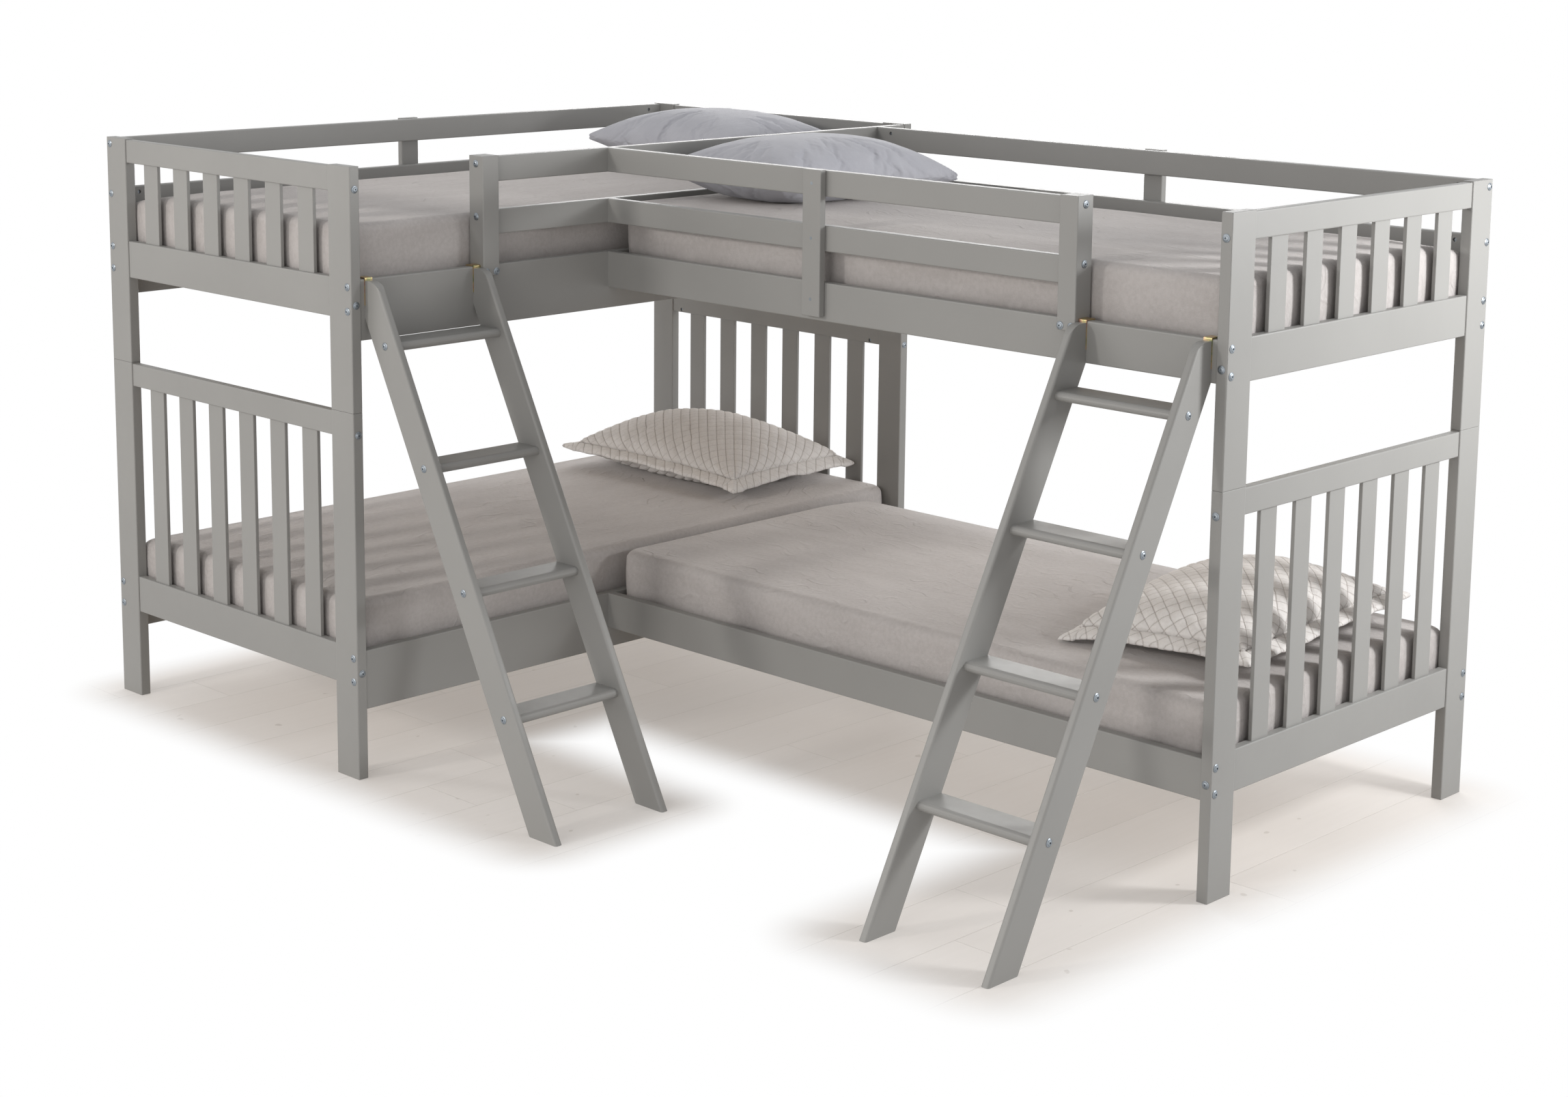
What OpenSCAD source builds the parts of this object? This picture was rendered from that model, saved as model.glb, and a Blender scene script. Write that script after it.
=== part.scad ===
// L-shaped bunk bed: two twin bunks over two twin beds, joined at a corner, with two hook-on ladders.
// Millimetres, +Z up. The origin is on the floor under the middle of the overall box.
// Bunk A runs along Y and bunk B stands out from its side along +X.

/* [Bunks] */
// Width of the twin mattress that each bunk is built round
mattress_w = 991; // [960:1:1040]
// Length of that mattress
mattress_l = 1905; // [1850:1:2000]
// Space between a lower mattress and its side rails
side_play = 13; // [10:0.5:25]
// Space between bunk A's mattresses and the inner faces of its posts
end_play = 27.5; // [5:0.5:40]
// Space between bunk B's mattresses and the inner faces of its end posts
wing_play = 20; // [5:0.5:40]
// Set-back of bunk B from the head end of bunk A
wing_back = 118; // [60:1:300]

/* [Posts] */
// Width of a post in the plane of its end panel
post_w = 89; // [70:1:120]
// Thickness of a post
post_t = 29; // [22:1:45]
// Height of the lower length of each post
post_low_h = 924; // [880:1:1000]
// Height of the upper length of each post
post_up_h = 600; // [560:1:700]
// Rounding of the long edges of posts and boards
arris = 3; // [1:0.5:5]
// Diameter of the steel pin between the stacked posts
pin_d = 10; // [6:1:14]
// Length of that pin
pin_l = 60; // [30:1:100]

/* [Side rails] */
// Thickness of side rails and guard rails
rail_t = 25; // [20:1:32]
// Set-back of the rails from the outer faces of the posts
rail_inset = 3; // [0:0.5:6]
// Height of each rail's top above the foot of its length of post
rail_top = 326; // [300:1:360]
// Depth of bunk A's side rails
rail_a_h = 150; // [110:1:160]
// Depth of bunk B's side rails
rail_b_h = 95; // [90:1:130]

/* [Guard rails] */
// Depth of a guard rail
guard_h = 63; // [45:1:80]
// Set-back of the upper guard rail from the top of the posts
guard_drop = 2; // [0:0.5:10]
// Space between the two guard rails
guard_gap = 70; // [40:1:74]
// Play between a ladder and its ladder post
gate_play = 1; // [0.5:0.5:130]
// Width of a ladder post along its rail
gate_post_w = 52; // [40:1:70]
// Depth of a ladder post across its rail
gate_post_d = 55; // [50:1:62]
// Height that the forked foot laps over the side rail
gate_lap = 26; // [20:1:60]
// Height of a ladder post above the corner posts
gate_rise = 2; // [0:0.5:10]
// Width of the boards that tie guard rails to the side rail
tie_w = 60; // [40:1:90]
// Thickness of those boards
tie_t = 20; // [14:1:25]
// Length of those boards
tie_h = 357; // [330:1:400]

/* [End panels] */
// Thickness of the panel rails
panel_t = 23; // [18:1:24]
// Depth of a top panel rail
panel_top_h = 61; // [45:1:90]
// Depth of a bottom panel rail
panel_bot_h = 98; // [70:1:110]
// Set-back of a top panel rail from the top of its posts
panel_drop = 3; // [0:0.5:10]
// Height of the lower bottom rail's top edge
panel_low_top = 334; // [300:1:380]
// Height of the upper bottom rail's top edge above the stacked joint
panel_up_top = 327.5; // [300:0.5:360]
// Number of slats in an end panel
slat_n = 6; // [4:1:8]
// Width of an end panel slat
slat_w = 63.5; // [40:0.5:75]
// Thickness of an end panel slat
slat_t = 10; // [7:0.5:14]
// Depth of each slat's mortise
slat_tenon = 12; // [6:1:25]

/* [Slat decks] */
// Depth of the deck below the top of its side rails
deck_drop = 38; // [30:1:45]
// Width of a deck slat
deck_w = 70; // [50:1:90]
// Thickness of a deck slat
deck_t = 17; // [12:1:20]
// Number of deck slats on each bed
deck_n = 14; // [8:1:18]
// Clearance at each end of a deck slat
deck_play = 1; // [0.5:0.5:5]
// Width of the cleats that carry the slats
cleat_w = 20; // [16:1:30]
// Height of those cleats
cleat_h = 25; // [18:1:30]

/* [Ladders] */
// Width over a ladder's stringers
ladder_w = 356; // [300:1:420]
// Space between a ladder and its corner post
ladder_gap = 13; // [4:1:13]
// Thickness of a stringer
stringer_t = 21; // [18:1:28]
// Level width of a stringer at its foot
stringer_w = 96; // [80:1:120]
// Distance of the foot's back edge from the rail
ladder_reach = 600; // [450:1:700]
// Height of the upright top of a stringer's back edge
stringer_flat = 94; // [80:1:120]
// Height of the ladder's top below the top of the rail
ladder_drop = 4; // [2:0.5:12]
// Radius of the rounded front shoulder of a stringer
shoulder_r = 50; // [20:1:60]
// Rounding of a stringer's front edges
nose_r = 6; // [2:0.5:9]
// Chamfer at the back of each foot
foot_cut = 3; // [1:0.5:8]
// Number of treads
tread_n = 4; // [3:1:4]
// Depth of a tread
tread_d = 82; // [70:1:90]
// Thickness of a tread
tread_t = 22; // [18:1:30]
// Drop from the rail's top to the top tread
tread_drop = 145; // [140:0.5:200]
// Rise from tread to tread
tread_rise = 277.5; // [230:0.5:280]
// Width of the steel hook strap
hook_w = 22; // [16:1:22]
// Thickness of that strap
hook_t = 3; // [2:0.5:4]
// Length of strap behind the side rail
hook_drop = 22; // [15:1:30]
// Length of strap let into the stringer's back
hook_leg = 60; // [40:1:80]
// Clearance between strap and rail
hook_play = 0.5; // [0.3:0.1:1.5]

/* [Hardware] */
// Diameter of the bed bolts
bolt_d = 6; // [5:0.5:8]
// Length of a side rail bolt
bolt_l = 90; // [80:1:110]
// Length of a panel rail bolt
bolt_long_l = 140; // [125:1:160]
// Length of a tread bolt
bolt_tread_l = 70; // [55:1:90]
// Length of a ladder post's bolts
bolt_gate_l = 48; // [42:1:50]
// Diameter of a bolt's cupped head
head_d = 19; // [14:0.5:20]
// Height of that head
head_h = 4; // [2.5:0.5:5]
// Clearance round a bolt in its hole, across the diameter
bolt_play = 1; // [0.2:0.1:1.5]
// Diameter of a barrel nut
nut_d = 10; // [9:0.5:11]
// Length of a barrel nut
nut_l = 16; // [12:1:17]
// Distance from a bolt's tip back to the middle of its nut
nut_back = 12; // [8:1:16]
// Height of the upper bolt below the top of a side rail
bolt_drop_1 = 17.5; // [14:0.5:24]
// Height of the lower bolt below the top of a side rail
bolt_drop_2 = 77; // [60:0.5:80]
// Length of a tie board screw
screw_l = 38; // [30:1:42]
// Shank diameter of a tie board screw
screw_d = 4; // [3:0.5:5]

/* [Bedding] */
// Thickness of a lower mattress
mattress_low_h = 158; // [120:1:200]
// Thickness of an upper mattress
mattress_up_h = 172; // [120:1:200]
// Fall of a lower mattress's top towards the wall side
fall_low = 18; // [0:1:30]
// Fall of an upper mattress's top towards the wall side
fall_up = 34; // [0:1:45]
// Rise of a mattress's middle over its edge
crown = 6; // [2:1:12]
// Length of a smooth pillow
pillow_l = 645; // [560:1:700]
// Width of a smooth pillow
pillow_w = 460; // [400:1:500]
// Height of a smooth pillow
pillow_h = 162; // [100:1:180]
// Turn of the smooth pillows
pillow_turn = 3; // [0:0.5:4]
// Length of a quilted sham over its flange
sham_l = 745; // [600:1:780]
// Width of a quilted sham over its flange
sham_w = 520; // [420:1:540]
// Height of bunk A's sham
sham_a_h = 184; // [110:1:205]
// Height of bunk B's sham
sham_b_h = 168; // [110:1:205]
// Width of the sham's flange
flange_w = 44; // [30:1:70]
// Droop of the flange from its seam to its rim
flange_fall = 16; // [0:1:30]
// Rise of the quilting between its seams
quilt_puff = 4; // [1:0.5:6]
// Space between bunk A's pillow and its head posts
pillow_a_in = 3; // [1:0.5:120]
// Space between bunk B's pillow and bunk A's rail
pillow_b_in = 19; // [5:1:120]
// Space between bunk A's sham and its head posts
sham_a_in = 3; // [1:0.5:150]
// Space between bunk B's sham and its end posts
sham_b_in = 22; // [5:1:150]
// Turn of bunk A's sham
sham_a_turn = 0.5; // [0:0.5:6]
// Turn of bunk B's sham
sham_b_turn = 3; // [0:0.5:6]

/* [Hidden] */
$fn = 32;

// Paint colours for the preview
PAINT = [0.62, 0.61, 0.585];
PAINT_2 = [0.58, 0.57, 0.55];
ZINC = [0.75, 0.76, 0.78];
GOLD = [0.8, 0.68, 0.36];
BARE = [0.8, 0.7, 0.55];
SHEET = [0.82, 0.78, 0.75];
LINEN = [0.9, 0.9, 0.93];

// Positions in the corner frame: x from bunk A's back face, y from its foot end
bunk_w = mattress_w + 2 * (side_play + rail_t + rail_inset);
bunk_a_l = mattress_l + 2 * (end_play + post_t);
xb = bunk_w + mattress_l + wing_play + post_t;
yb1 = bunk_a_l - wing_back;
yb0 = yb1 - bunk_w;
zt = post_low_h + post_up_h;
z_rail = [rail_top, post_low_h + rail_top];
z_deck = [z_rail[0] - deck_drop, z_rail[1] - deck_drop];
base = [0, post_low_h];
// Inner planes of the side rails
a_in0 = rail_inset + rail_t;
a_in1 = bunk_w - rail_inset - rail_t;
a_out = bunk_w - rail_inset;
b_in0 = yb0 + rail_inset + rail_t;
b_in1 = yb1 - rail_inset - rail_t;
b_out = yb0 + rail_inset;
// Middle planes of the rails and of the posts' thickness
a_mid0 = rail_inset + rail_t / 2;
a_mid1 = bunk_w - a_mid0;
b_mid0 = yb0 + a_mid0;
b_mid1 = yb1 - a_mid0;
y_foot = post_t / 2;
y_head = bunk_a_l - post_t / 2;
x_end = xb - post_t / 2;
// Guard rails, from the top down
guard_z = [zt - guard_drop - guard_h, zt - guard_drop - 2 * guard_h - guard_gap];
guard_bolt_z = [guard_z[0] + guard_h * 3 / 4, guard_z[1] + guard_h * 3 / 4];
// Ladder posts' near faces, measured from the corner posts
gate_w = ladder_gap + ladder_w + gate_play;
ga = post_t + gate_w;
gb = xb - post_t - gate_w;
// Panel rails of each level: bottom edge and height
pb_z = [panel_low_top - panel_bot_h, post_low_h + panel_up_top - panel_bot_h];
pt_z = [post_low_h - panel_drop - panel_top_h, zt - panel_drop - panel_top_h];
// Overall box, which centres the part
mid_x = (xb + head_h - tie_t + rail_inset) / 2;
mid_y = bunk_a_l / 2;

module placed() translate([-mid_x, -mid_y, 0]) children();

// Rounded rectangles and boards whose section is rounded by the arris
function arc(cx, cy, r, a0, a1, n) =
  [for (i = [0 : n]) [cx + r * cos(a0 + (a1 - a0) * i / n), cy + r * sin(a0 + (a1 - a0) * i / n)]];
function rrect(w, h, r, n = 3) = concat(
  arc(w - r, r, r, -90, 0, n),
  arc(w - r, h - r, r, 0, 90, n),
  arc(r, h - r, r, 90, 180, n),
  arc(r, r, r, 180, 270, n));

module board_x(p, s, r = arris)
  translate(p) rotate([90, 0, 90]) linear_extrude(s[0]) polygon(rrect(s[1], s[2], r));
module board_y(p, s, r = arris)
  translate(p + [0, s[1], 0]) rotate([90, 0, 0]) linear_extrude(s[1]) polygon(rrect(s[0], s[2], r));
module board_z(p, s, r = arris)
  translate(p) linear_extrude(s[2]) polygon(rrect(s[0], s[1], r));

// Boards with their end edges eased as well
module eased_z(p, s) intersection() {
  board_z(p, s);
  board_x(p, s, arris * 0.6);
  board_y(p, s, arris * 0.6);
}
module eased_x(p, s) intersection() {
  board_x(p, s);
  board_z(p, s, arris * 0.8);
}
module eased_y(p, s) intersection() {
  board_y(p, s);
  board_z(p, s, arris * 0.8);
}

// Fastenings: [head seat, bolt bearing, nut bearing, length]. Bearings are degrees from +X.
function way(a) = [cos(a), sin(a), 0];
function ends_a(x, nutward, zs) = [for (z = zs) each [
  [[x, 0, z], 90, nutward, bolt_l],
  [[x, bunk_a_l, z], -90, nutward, bolt_l]]];
function far_b(y, nutward, zs) = [for (z = zs) [[xb, y, z], 180, nutward, bolt_l]];
function near_b(y, nutward, zs) = [for (z = zs) [[a_in1, y, z], 0, nutward, bolt_l]];
function rail_bolts_z(k) = [z_rail[k] - bolt_drop_1, z_rail[k] - bolt_drop_2];

function rail_a(k, side) = ends_a(side == 0 ? a_mid0 : a_mid1, side == 0 ? 180 : 0, rail_bolts_z(k));
function rail_b(k, side) = concat(
  far_b(side == 0 ? b_mid0 : b_mid1, side == 0 ? -90 : 90, rail_bolts_z(k)),
  near_b(side == 0 ? b_mid0 : b_mid1, side == 0 ? -90 : 90, rail_bolts_z(k)));
guard_ab = ends_a(a_mid0, 180, guard_bolt_z);
guard_af = [for (z = guard_bolt_z) each [
  [[a_mid1, ga, z], 90, 0, bolt_l],
  [[a_mid1, bunk_a_l, z], -90, 0, bolt_l]]];
guard_bf = concat(near_b(b_mid0, -90, guard_bolt_z),
  [for (z = guard_bolt_z) [[gb, b_mid0, z], 180, -90, bolt_l]]);
guard_bb = concat(near_b(b_mid1, 90, guard_bolt_z), far_b(b_mid1, 90, guard_bolt_z));

// Bolts through a post's width into the panel rails, at each rail's own height
function panel_z(k) = [pb_z[k] + panel_bot_h * 0.35, pt_z[k] + 9];
function panel_a(k, y, nutward) = [for (z = panel_z(k)) each [
  [[0, y, z], 0, nutward, bolt_long_l],
  [[bunk_w, y, z], 180, nutward, bolt_long_l]]];
function panel_b(k) = [for (z = panel_z(k)) each [
  [[x_end, yb0, z], 90, 0, bolt_long_l],
  [[x_end, yb1, z], -90, 0, bolt_long_l]]];
function foot_bolts(k) = panel_a(k, y_foot, -90);
function head_bolts(k) = panel_a(k, y_head, 90);

// Two bolts side by side through each forked foot
gate_bolt_z = z_rail[1] - gate_lap * 0.6;
gate_a_bolts = [for (d = [-1, 1])
  [[a_mid1 + gate_post_d / 2, ga + gate_post_w / 2 + d * gate_post_w * 0.3, gate_bolt_z], 180, 0,
  bolt_gate_l]];
gate_b_bolts = [for (d = [-1, 1])
  [[gb - gate_post_w / 2 + d * gate_post_w * 0.3, b_mid0 - gate_post_d / 2, gate_bolt_z], 90, 0,
  bolt_gate_l]];

all_rails = [for (k = [0, 1], s = [0, 1]) each concat(rail_a(k, s), rail_b(k, s))];
all_guards = concat(guard_ab, guard_af, guard_bf, guard_bb);
all_panels = [for (k = [0, 1]) each concat(foot_bolts(k), head_bolts(k), panel_b(k))];

module along(a) rotate([0, 0, a]) rotate([0, 90, 0]) children();

// A button head in a cup washer, with a hexagon socket; local +Z goes into the wood
module bolt(l) difference() {
  rotate_extrude() polygon([[0, l], [bolt_d / 2 - 0.6, l], [bolt_d / 2, l - 0.6], [bolt_d / 2, 0],
    [head_d / 2, 0], [head_d / 2, -head_h * 0.2], [head_d * 0.4, -head_h * 0.5],
    [head_d * 0.34, -head_h * 0.55], [head_d * 0.31, -head_h * 0.82], [head_d * 0.22, -head_h],
    [0, -head_h]]);
  translate([0, 0, -head_h - 1]) cylinder(h = head_h * 0.6 + 1, r = head_d * 0.13, $fn = 6);
}
module bolts(list) for (b = list) translate(b[0]) along(b[1]) bolt(b[3]);

function nut_at(b) = b[0] + way(b[1]) * (b[3] - nut_back);
module nuts(list) for (b = list) difference() {
  translate(nut_at(b)) along(b[2]) cylinder(h = nut_l, d = nut_d, center = true);
  translate(b[0]) along(b[1]) cylinder(h = b[3] + 20, d = bolt_d + 0.2);
}

// Bolt holes, and the cross holes that the barrel nuts are dropped into from the inner face
module bores(list) for (b = list)
  translate(b[0]) along(b[1]) translate([0, 0, -1]) cylinder(h = b[3] + 3, d = bolt_d + bolt_play);
module nut_bores(list) for (b = list)
  translate(nut_at(b)) along(b[2]) translate([0, 0, -rail_t]) cylinder(h = rail_t + nut_l / 2 + 0.5,
    d = nut_d + 0.4);

// Steel pins at the stacked joints
function pin_at(x, y) = [x, y, post_low_h];
foot_pins = [pin_at(post_w / 2, y_foot), pin_at(bunk_w - post_w / 2, y_foot)];
head_pins = [pin_at(post_w / 2, y_head), pin_at(bunk_w - post_w / 2, y_head)];
end_pins = [pin_at(x_end, yb0 + post_w / 2), pin_at(x_end, yb1 - post_w / 2)];
module pin_bores(pins) for (p = pins)
  translate(p) cylinder(h = pin_l + 2, d = pin_d + 0.2, center = true);
module pins(pins) for (p = pins) translate(p) cylinder(h = pin_l, d = pin_d, center = true);

// Posts of one panel on one level
function post_h(k) = k == 0 ? post_low_h : post_up_h;
function some(list, z0, z1) = [for (b = list) if (b[0][2] > z0 && b[0][2] < z1) b];
module posts_a(k, y, through, across, pins_here) {
  for (x = [0, bunk_w - post_w]) difference() {
    eased_z([x, y, base[k]], [post_w, post_t, post_h(k)]);
    bores([for (b = concat(through, across)) if (abs(b[0][0] - x - post_w / 2) < post_w) b]);
    pin_bores([for (p = pins_here) if (abs(p[0] - x - post_w / 2) < post_w) p]);
  }
}
module posts_b(k, through, across) {
  for (y = [yb0, yb1 - post_w]) difference() {
    eased_z([xb - post_t, y, base[k]], [post_t, post_w, post_h(k)]);
    bores([for (b = concat(through, across)) if (abs(b[0][1] - y - post_w / 2) < post_w) b]);
    pin_bores([for (p = end_pins) if (abs(p[1] - y - post_w / 2) < post_w) p]);
  }
}
// Bolts that pass through a panel's posts on level k
function at_foot(k) = concat([for (b = concat(rail_a(k, 0), rail_a(k, 1))) if (b[1] == 90) b],
  k == 1 ? [for (b = guard_ab) if (b[1] == 90) b] : []);
function at_head(k) = concat([for (b = concat(rail_a(k, 0), rail_a(k, 1))) if (b[1] == -90) b],
  k == 1 ? [for (b = concat(guard_ab, guard_af)) if (b[1] == -90) b] : []);
function at_end(k) = concat([for (b = concat(rail_b(k, 0), rail_b(k, 1))) if (b[1] == 180) b],
  k == 1 ? [for (b = guard_bb) if (b[1] == 180) b] : []);

module foot_posts_low() color(PAINT) placed() posts_a(0, 0, at_foot(0), foot_bolts(0), foot_pins);
module foot_posts_up() color(PAINT) placed() posts_a(1, 0, at_foot(1), foot_bolts(1), foot_pins);
module head_posts_low() color(PAINT) placed()
  posts_a(0, bunk_a_l - post_t, at_head(0), head_bolts(0), head_pins);
module head_posts_up() color(PAINT) placed()
  posts_a(1, bunk_a_l - post_t, at_head(1), head_bolts(1), head_pins);
module end_posts_low() color(PAINT) placed() posts_b(0, at_end(0), panel_b(0));
module end_posts_up() color(PAINT) placed() posts_b(1, at_end(1), panel_b(1));

// End panels: two rails with mortises, and slats let into them
inner_w = bunk_w - 2 * post_w;
slat_gap = (inner_w - slat_n * slat_w) / (slat_n + 1);
function slat_p(i) = post_w + slat_gap + i * (slat_w + slat_gap);
function slat_z0(k) = pb_z[k] + panel_bot_h - slat_tenon;
function slat_z1(k) = pt_z[k] + slat_tenon;
module slats_a(k, y) for (i = [0 : slat_n - 1])
  board_z([slat_p(i), y - slat_t / 2, slat_z0(k)], [slat_w, slat_t, slat_z1(k) - slat_z0(k)], arris / 2);
module slats_b(k) for (i = [0 : slat_n - 1])
  board_z([x_end - slat_t / 2, yb0 + slat_p(i), slat_z0(k)],
    [slat_t, slat_w, slat_z1(k) - slat_z0(k)], arris / 2);
module mortises_a(k, y) for (i = [0 : slat_n - 1])
  translate([slat_p(i), y - slat_t / 2, slat_z0(k)]) cube([slat_w, slat_t, slat_z1(k) - slat_z0(k)]);
module mortises_b(k) for (i = [0 : slat_n - 1])
  translate([x_end - slat_t / 2, yb0 + slat_p(i), slat_z0(k)])
    cube([slat_t, slat_w, slat_z1(k) - slat_z0(k)]);
module panel_rails_a(k, y, list) difference() {
  union() {
    eased_x([post_w, y - panel_t / 2, pb_z[k]], [inner_w, panel_t, panel_bot_h]);
    eased_x([post_w, y - panel_t / 2, pt_z[k]], [inner_w, panel_t, panel_top_h]);
  }
  mortises_a(k, y);
  bores(list);
  nut_bores(list);
}
module panel_rails_b(k, list) difference() {
  union() {
    eased_y([x_end - panel_t / 2, yb0 + post_w, pb_z[k]], [panel_t, inner_w, panel_bot_h]);
    eased_y([x_end - panel_t / 2, yb0 + post_w, pt_z[k]], [panel_t, inner_w, panel_top_h]);
  }
  mortises_b(k);
  bores(list);
  nut_bores(list);
}
module foot_rails_low() color(PAINT) placed() panel_rails_a(0, y_foot, foot_bolts(0));
module foot_rails_up() color(PAINT) placed() panel_rails_a(1, y_foot, foot_bolts(1));
module head_rails_low() color(PAINT) placed() panel_rails_a(0, y_head, head_bolts(0));
module head_rails_up() color(PAINT) placed() panel_rails_a(1, y_head, head_bolts(1));
module end_rails_low() color(PAINT) placed() panel_rails_b(0, panel_b(0));
module end_rails_up() color(PAINT) placed() panel_rails_b(1, panel_b(1));
module foot_slats_low() color(PAINT_2) placed() slats_a(0, y_foot);
module foot_slats_up() color(PAINT_2) placed() slats_a(1, y_foot);
module head_slats_low() color(PAINT_2) placed() slats_a(0, y_head);
module head_slats_up() color(PAINT_2) placed() slats_a(1, y_head);
module end_slats_low() color(PAINT_2) placed() slats_b(0);
module end_slats_up() color(PAINT_2) placed() slats_b(1);

// Side rails. Bunk B's butt against bunk A's front rail and are bolted through it from inside.
module rail_along_a(x, k, list, through, planted = []) difference() {
  board_y([x, post_t, z_rail[k] - rail_a_h], [rail_t, bunk_a_l - 2 * post_t, rail_a_h]);
  bores(list);
  nut_bores(list);
  bores(through);
  screw_bores(planted);
}
module rail_along_b(y, k, list, through, planted = []) difference() {
  board_x([a_out, y, z_rail[k] - rail_b_h], [xb - post_t - a_out, rail_t, rail_b_h]);
  bores(list);
  nut_bores(list);
  bores(through);
  screw_bores(planted);
}
function junction(k) = concat(near_b(b_mid0, -90, rail_bolts_z(k)), near_b(b_mid1, 90, rail_bolts_z(k)));
module rail_a_back_low() color(PAINT) placed() rail_along_a(rail_inset, 0, rail_a(0, 0), []);
module rail_a_back_up() color(PAINT) placed()
  rail_along_a(rail_inset, 1, rail_a(1, 0), [], screws_ab);
module rail_a_front_low() color(PAINT) placed() rail_along_a(a_in1, 0, rail_a(0, 1), junction(0));
module rail_a_front_up() color(PAINT) placed()
  rail_along_a(a_in1, 1, rail_a(1, 1), concat(junction(1), gate_a_bolts));
module rail_b_front_low() color(PAINT) placed() rail_along_b(b_out, 0, rail_b(0, 0), []);
module rail_b_front_up() color(PAINT) placed()
  rail_along_b(b_out, 1, rail_b(1, 0), gate_b_bolts, screws_bf);
module rail_b_back_low() color(PAINT) placed() rail_along_b(b_in1, 0, rail_b(0, 1), []);
module rail_b_back_up() color(PAINT) placed()
  rail_along_b(b_in1, 1, rail_b(1, 1), [], screws_bb);

// Tie boards planted outside the guard rails, each in the middle of its run
tie_z0 = zt - tie_h;
tie_a_y = bunk_a_l / 2;
tie_bf_x = (a_out + gb - gate_post_w) / 2;
tie_bb_x = (a_out + xb - post_t) / 2;
tie_screw_z = [guard_z[0] + guard_h / 2, guard_z[1] + guard_h / 2, (tie_z0 + z_rail[1]) / 2];
screws_ab = [for (z = tie_screw_z) [[rail_inset - tie_t, tie_a_y, z], 0]];
screws_bf = [for (z = tie_screw_z) [[tie_bf_x, b_out - tie_t, z], 90]];
screws_bb = [for (z = tie_screw_z) [[tie_bb_x, yb1 - rail_inset + tie_t, z], -90]];
module screw_form(g) rotate_extrude() polygon([[0, -g * 2], [screw_d + g, -g * 2], [screw_d + g, 0.6],
  [screw_d / 2 + g, screw_d / 2 + 0.6], [screw_d / 2 + g, screw_l - screw_d], [0, screw_l + g * 10]]);
module screw_bores(list) for (s = list) translate(s[0]) along(s[1]) screw_form(0.1);
module screws(list) for (s = list) translate(s[0]) along(s[1]) screw_form(0);
module tie_boards() color(PAINT) placed() {
  difference() {
    eased_z([rail_inset - tie_t, tie_a_y - tie_w / 2, tie_z0], [tie_t, tie_w, tie_h]);
    screw_bores(screws_ab);
  }
  difference() {
    eased_z([tie_bf_x - tie_w / 2, b_out - tie_t, tie_z0], [tie_w, tie_t, tie_h]);
    screw_bores(screws_bf);
  }
  difference() {
    eased_z([tie_bb_x - tie_w / 2, yb1 - rail_inset, tie_z0], [tie_w, tie_t, tie_h]);
    screw_bores(screws_bb);
  }
}
module tie_screws() color(ZINC) placed() {
  screws(screws_ab);
  screws(screws_bf);
  screws(screws_bb);
}

// Guard rails, two to a side
module guards_a_back() color(PAINT) placed() difference() {
  for (z = guard_z) board_y([rail_inset, post_t, z], [rail_t, bunk_a_l - 2 * post_t, guard_h]);
  bores(guard_ab);
  nut_bores(guard_ab);
  screw_bores(screws_ab);
}
module guards_a_front() color(PAINT) placed() difference() {
  for (z = guard_z) board_y([a_in1, ga + gate_post_w, z],
    [rail_t, bunk_a_l - post_t - ga - gate_post_w, guard_h]);
  bores(guard_af);
  nut_bores(guard_af);
  bores(near_b(b_mid0, -90, guard_bolt_z));
  bores(near_b(b_mid1, 90, guard_bolt_z));
}
module guards_b_front() color(PAINT) placed() difference() {
  for (z = guard_z) board_x([a_out, b_out, z], [gb - gate_post_w - a_out, rail_t, guard_h]);
  bores(guard_bf);
  nut_bores(guard_bf);
  screw_bores(screws_bf);
}
module guards_b_back() color(PAINT) placed() difference() {
  for (z = guard_z) board_x([a_out, b_in1, z], [xb - post_t - a_out, rail_t, guard_h]);
  bores(guard_bb);
  nut_bores(guard_bb);
  screw_bores(screws_bb);
}

// Ladder posts: the foot is forked and bridles the side rail, with a tongue down each face
gate_z0 = z_rail[1] - gate_lap;
gate_h = zt + gate_rise - gate_z0;
module gate_post_a() color(PAINT) placed() difference() {
  eased_z([a_mid1 - gate_post_d / 2, ga, gate_z0], [gate_post_d, gate_post_w, gate_h]);
  translate([a_in1, ga - 1, gate_z0 - 1]) cube([rail_t, gate_post_w + 2, gate_lap + 1]);
  bores(gate_a_bolts);
  bores([for (b = guard_af) if (b[1] == 90) b]);
}
module gate_post_b() color(PAINT) placed() difference() {
  eased_z([gb - gate_post_w, b_mid0 - gate_post_d / 2, gate_z0], [gate_post_w, gate_post_d, gate_h]);
  translate([gb - gate_post_w - 1, b_out, gate_z0 - 1]) cube([gate_post_w + 2, rail_t, gate_lap + 1]);
  bores(gate_b_bolts);
  bores([for (b = guard_bf) if (b[1] == 180) b]);
}

// Slat decks on cleats screwed to the inner faces of the side rails
run_a = bunk_a_l - 2 * post_t;
run_b = xb - post_t - a_out;
pitch_a = run_a / deck_n;
pitch_b = run_b / deck_n;
deck_l = a_in1 - a_in0 - 2 * deck_play;
module deck_a(k) for (i = [0 : deck_n - 1])
  board_x([a_in0 + deck_play, post_t + (i + 0.5) * pitch_a - deck_w / 2, z_deck[k] - deck_t],
    [deck_l, deck_w, deck_t], arris / 2);
module deck_b(k) for (i = [0 : deck_n - 1])
  board_y([a_out + (i + 0.5) * pitch_b - deck_w / 2, b_in0 + deck_play, z_deck[k] - deck_t],
    [deck_w, deck_l, deck_t], arris / 2);
module deck_a_low() color(BARE) placed() deck_a(0);
module deck_a_up() color(BARE) placed() deck_a(1);
module deck_b_low() color(BARE) placed() deck_b(0);
module deck_b_up() color(BARE) placed() deck_b(1);
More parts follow.
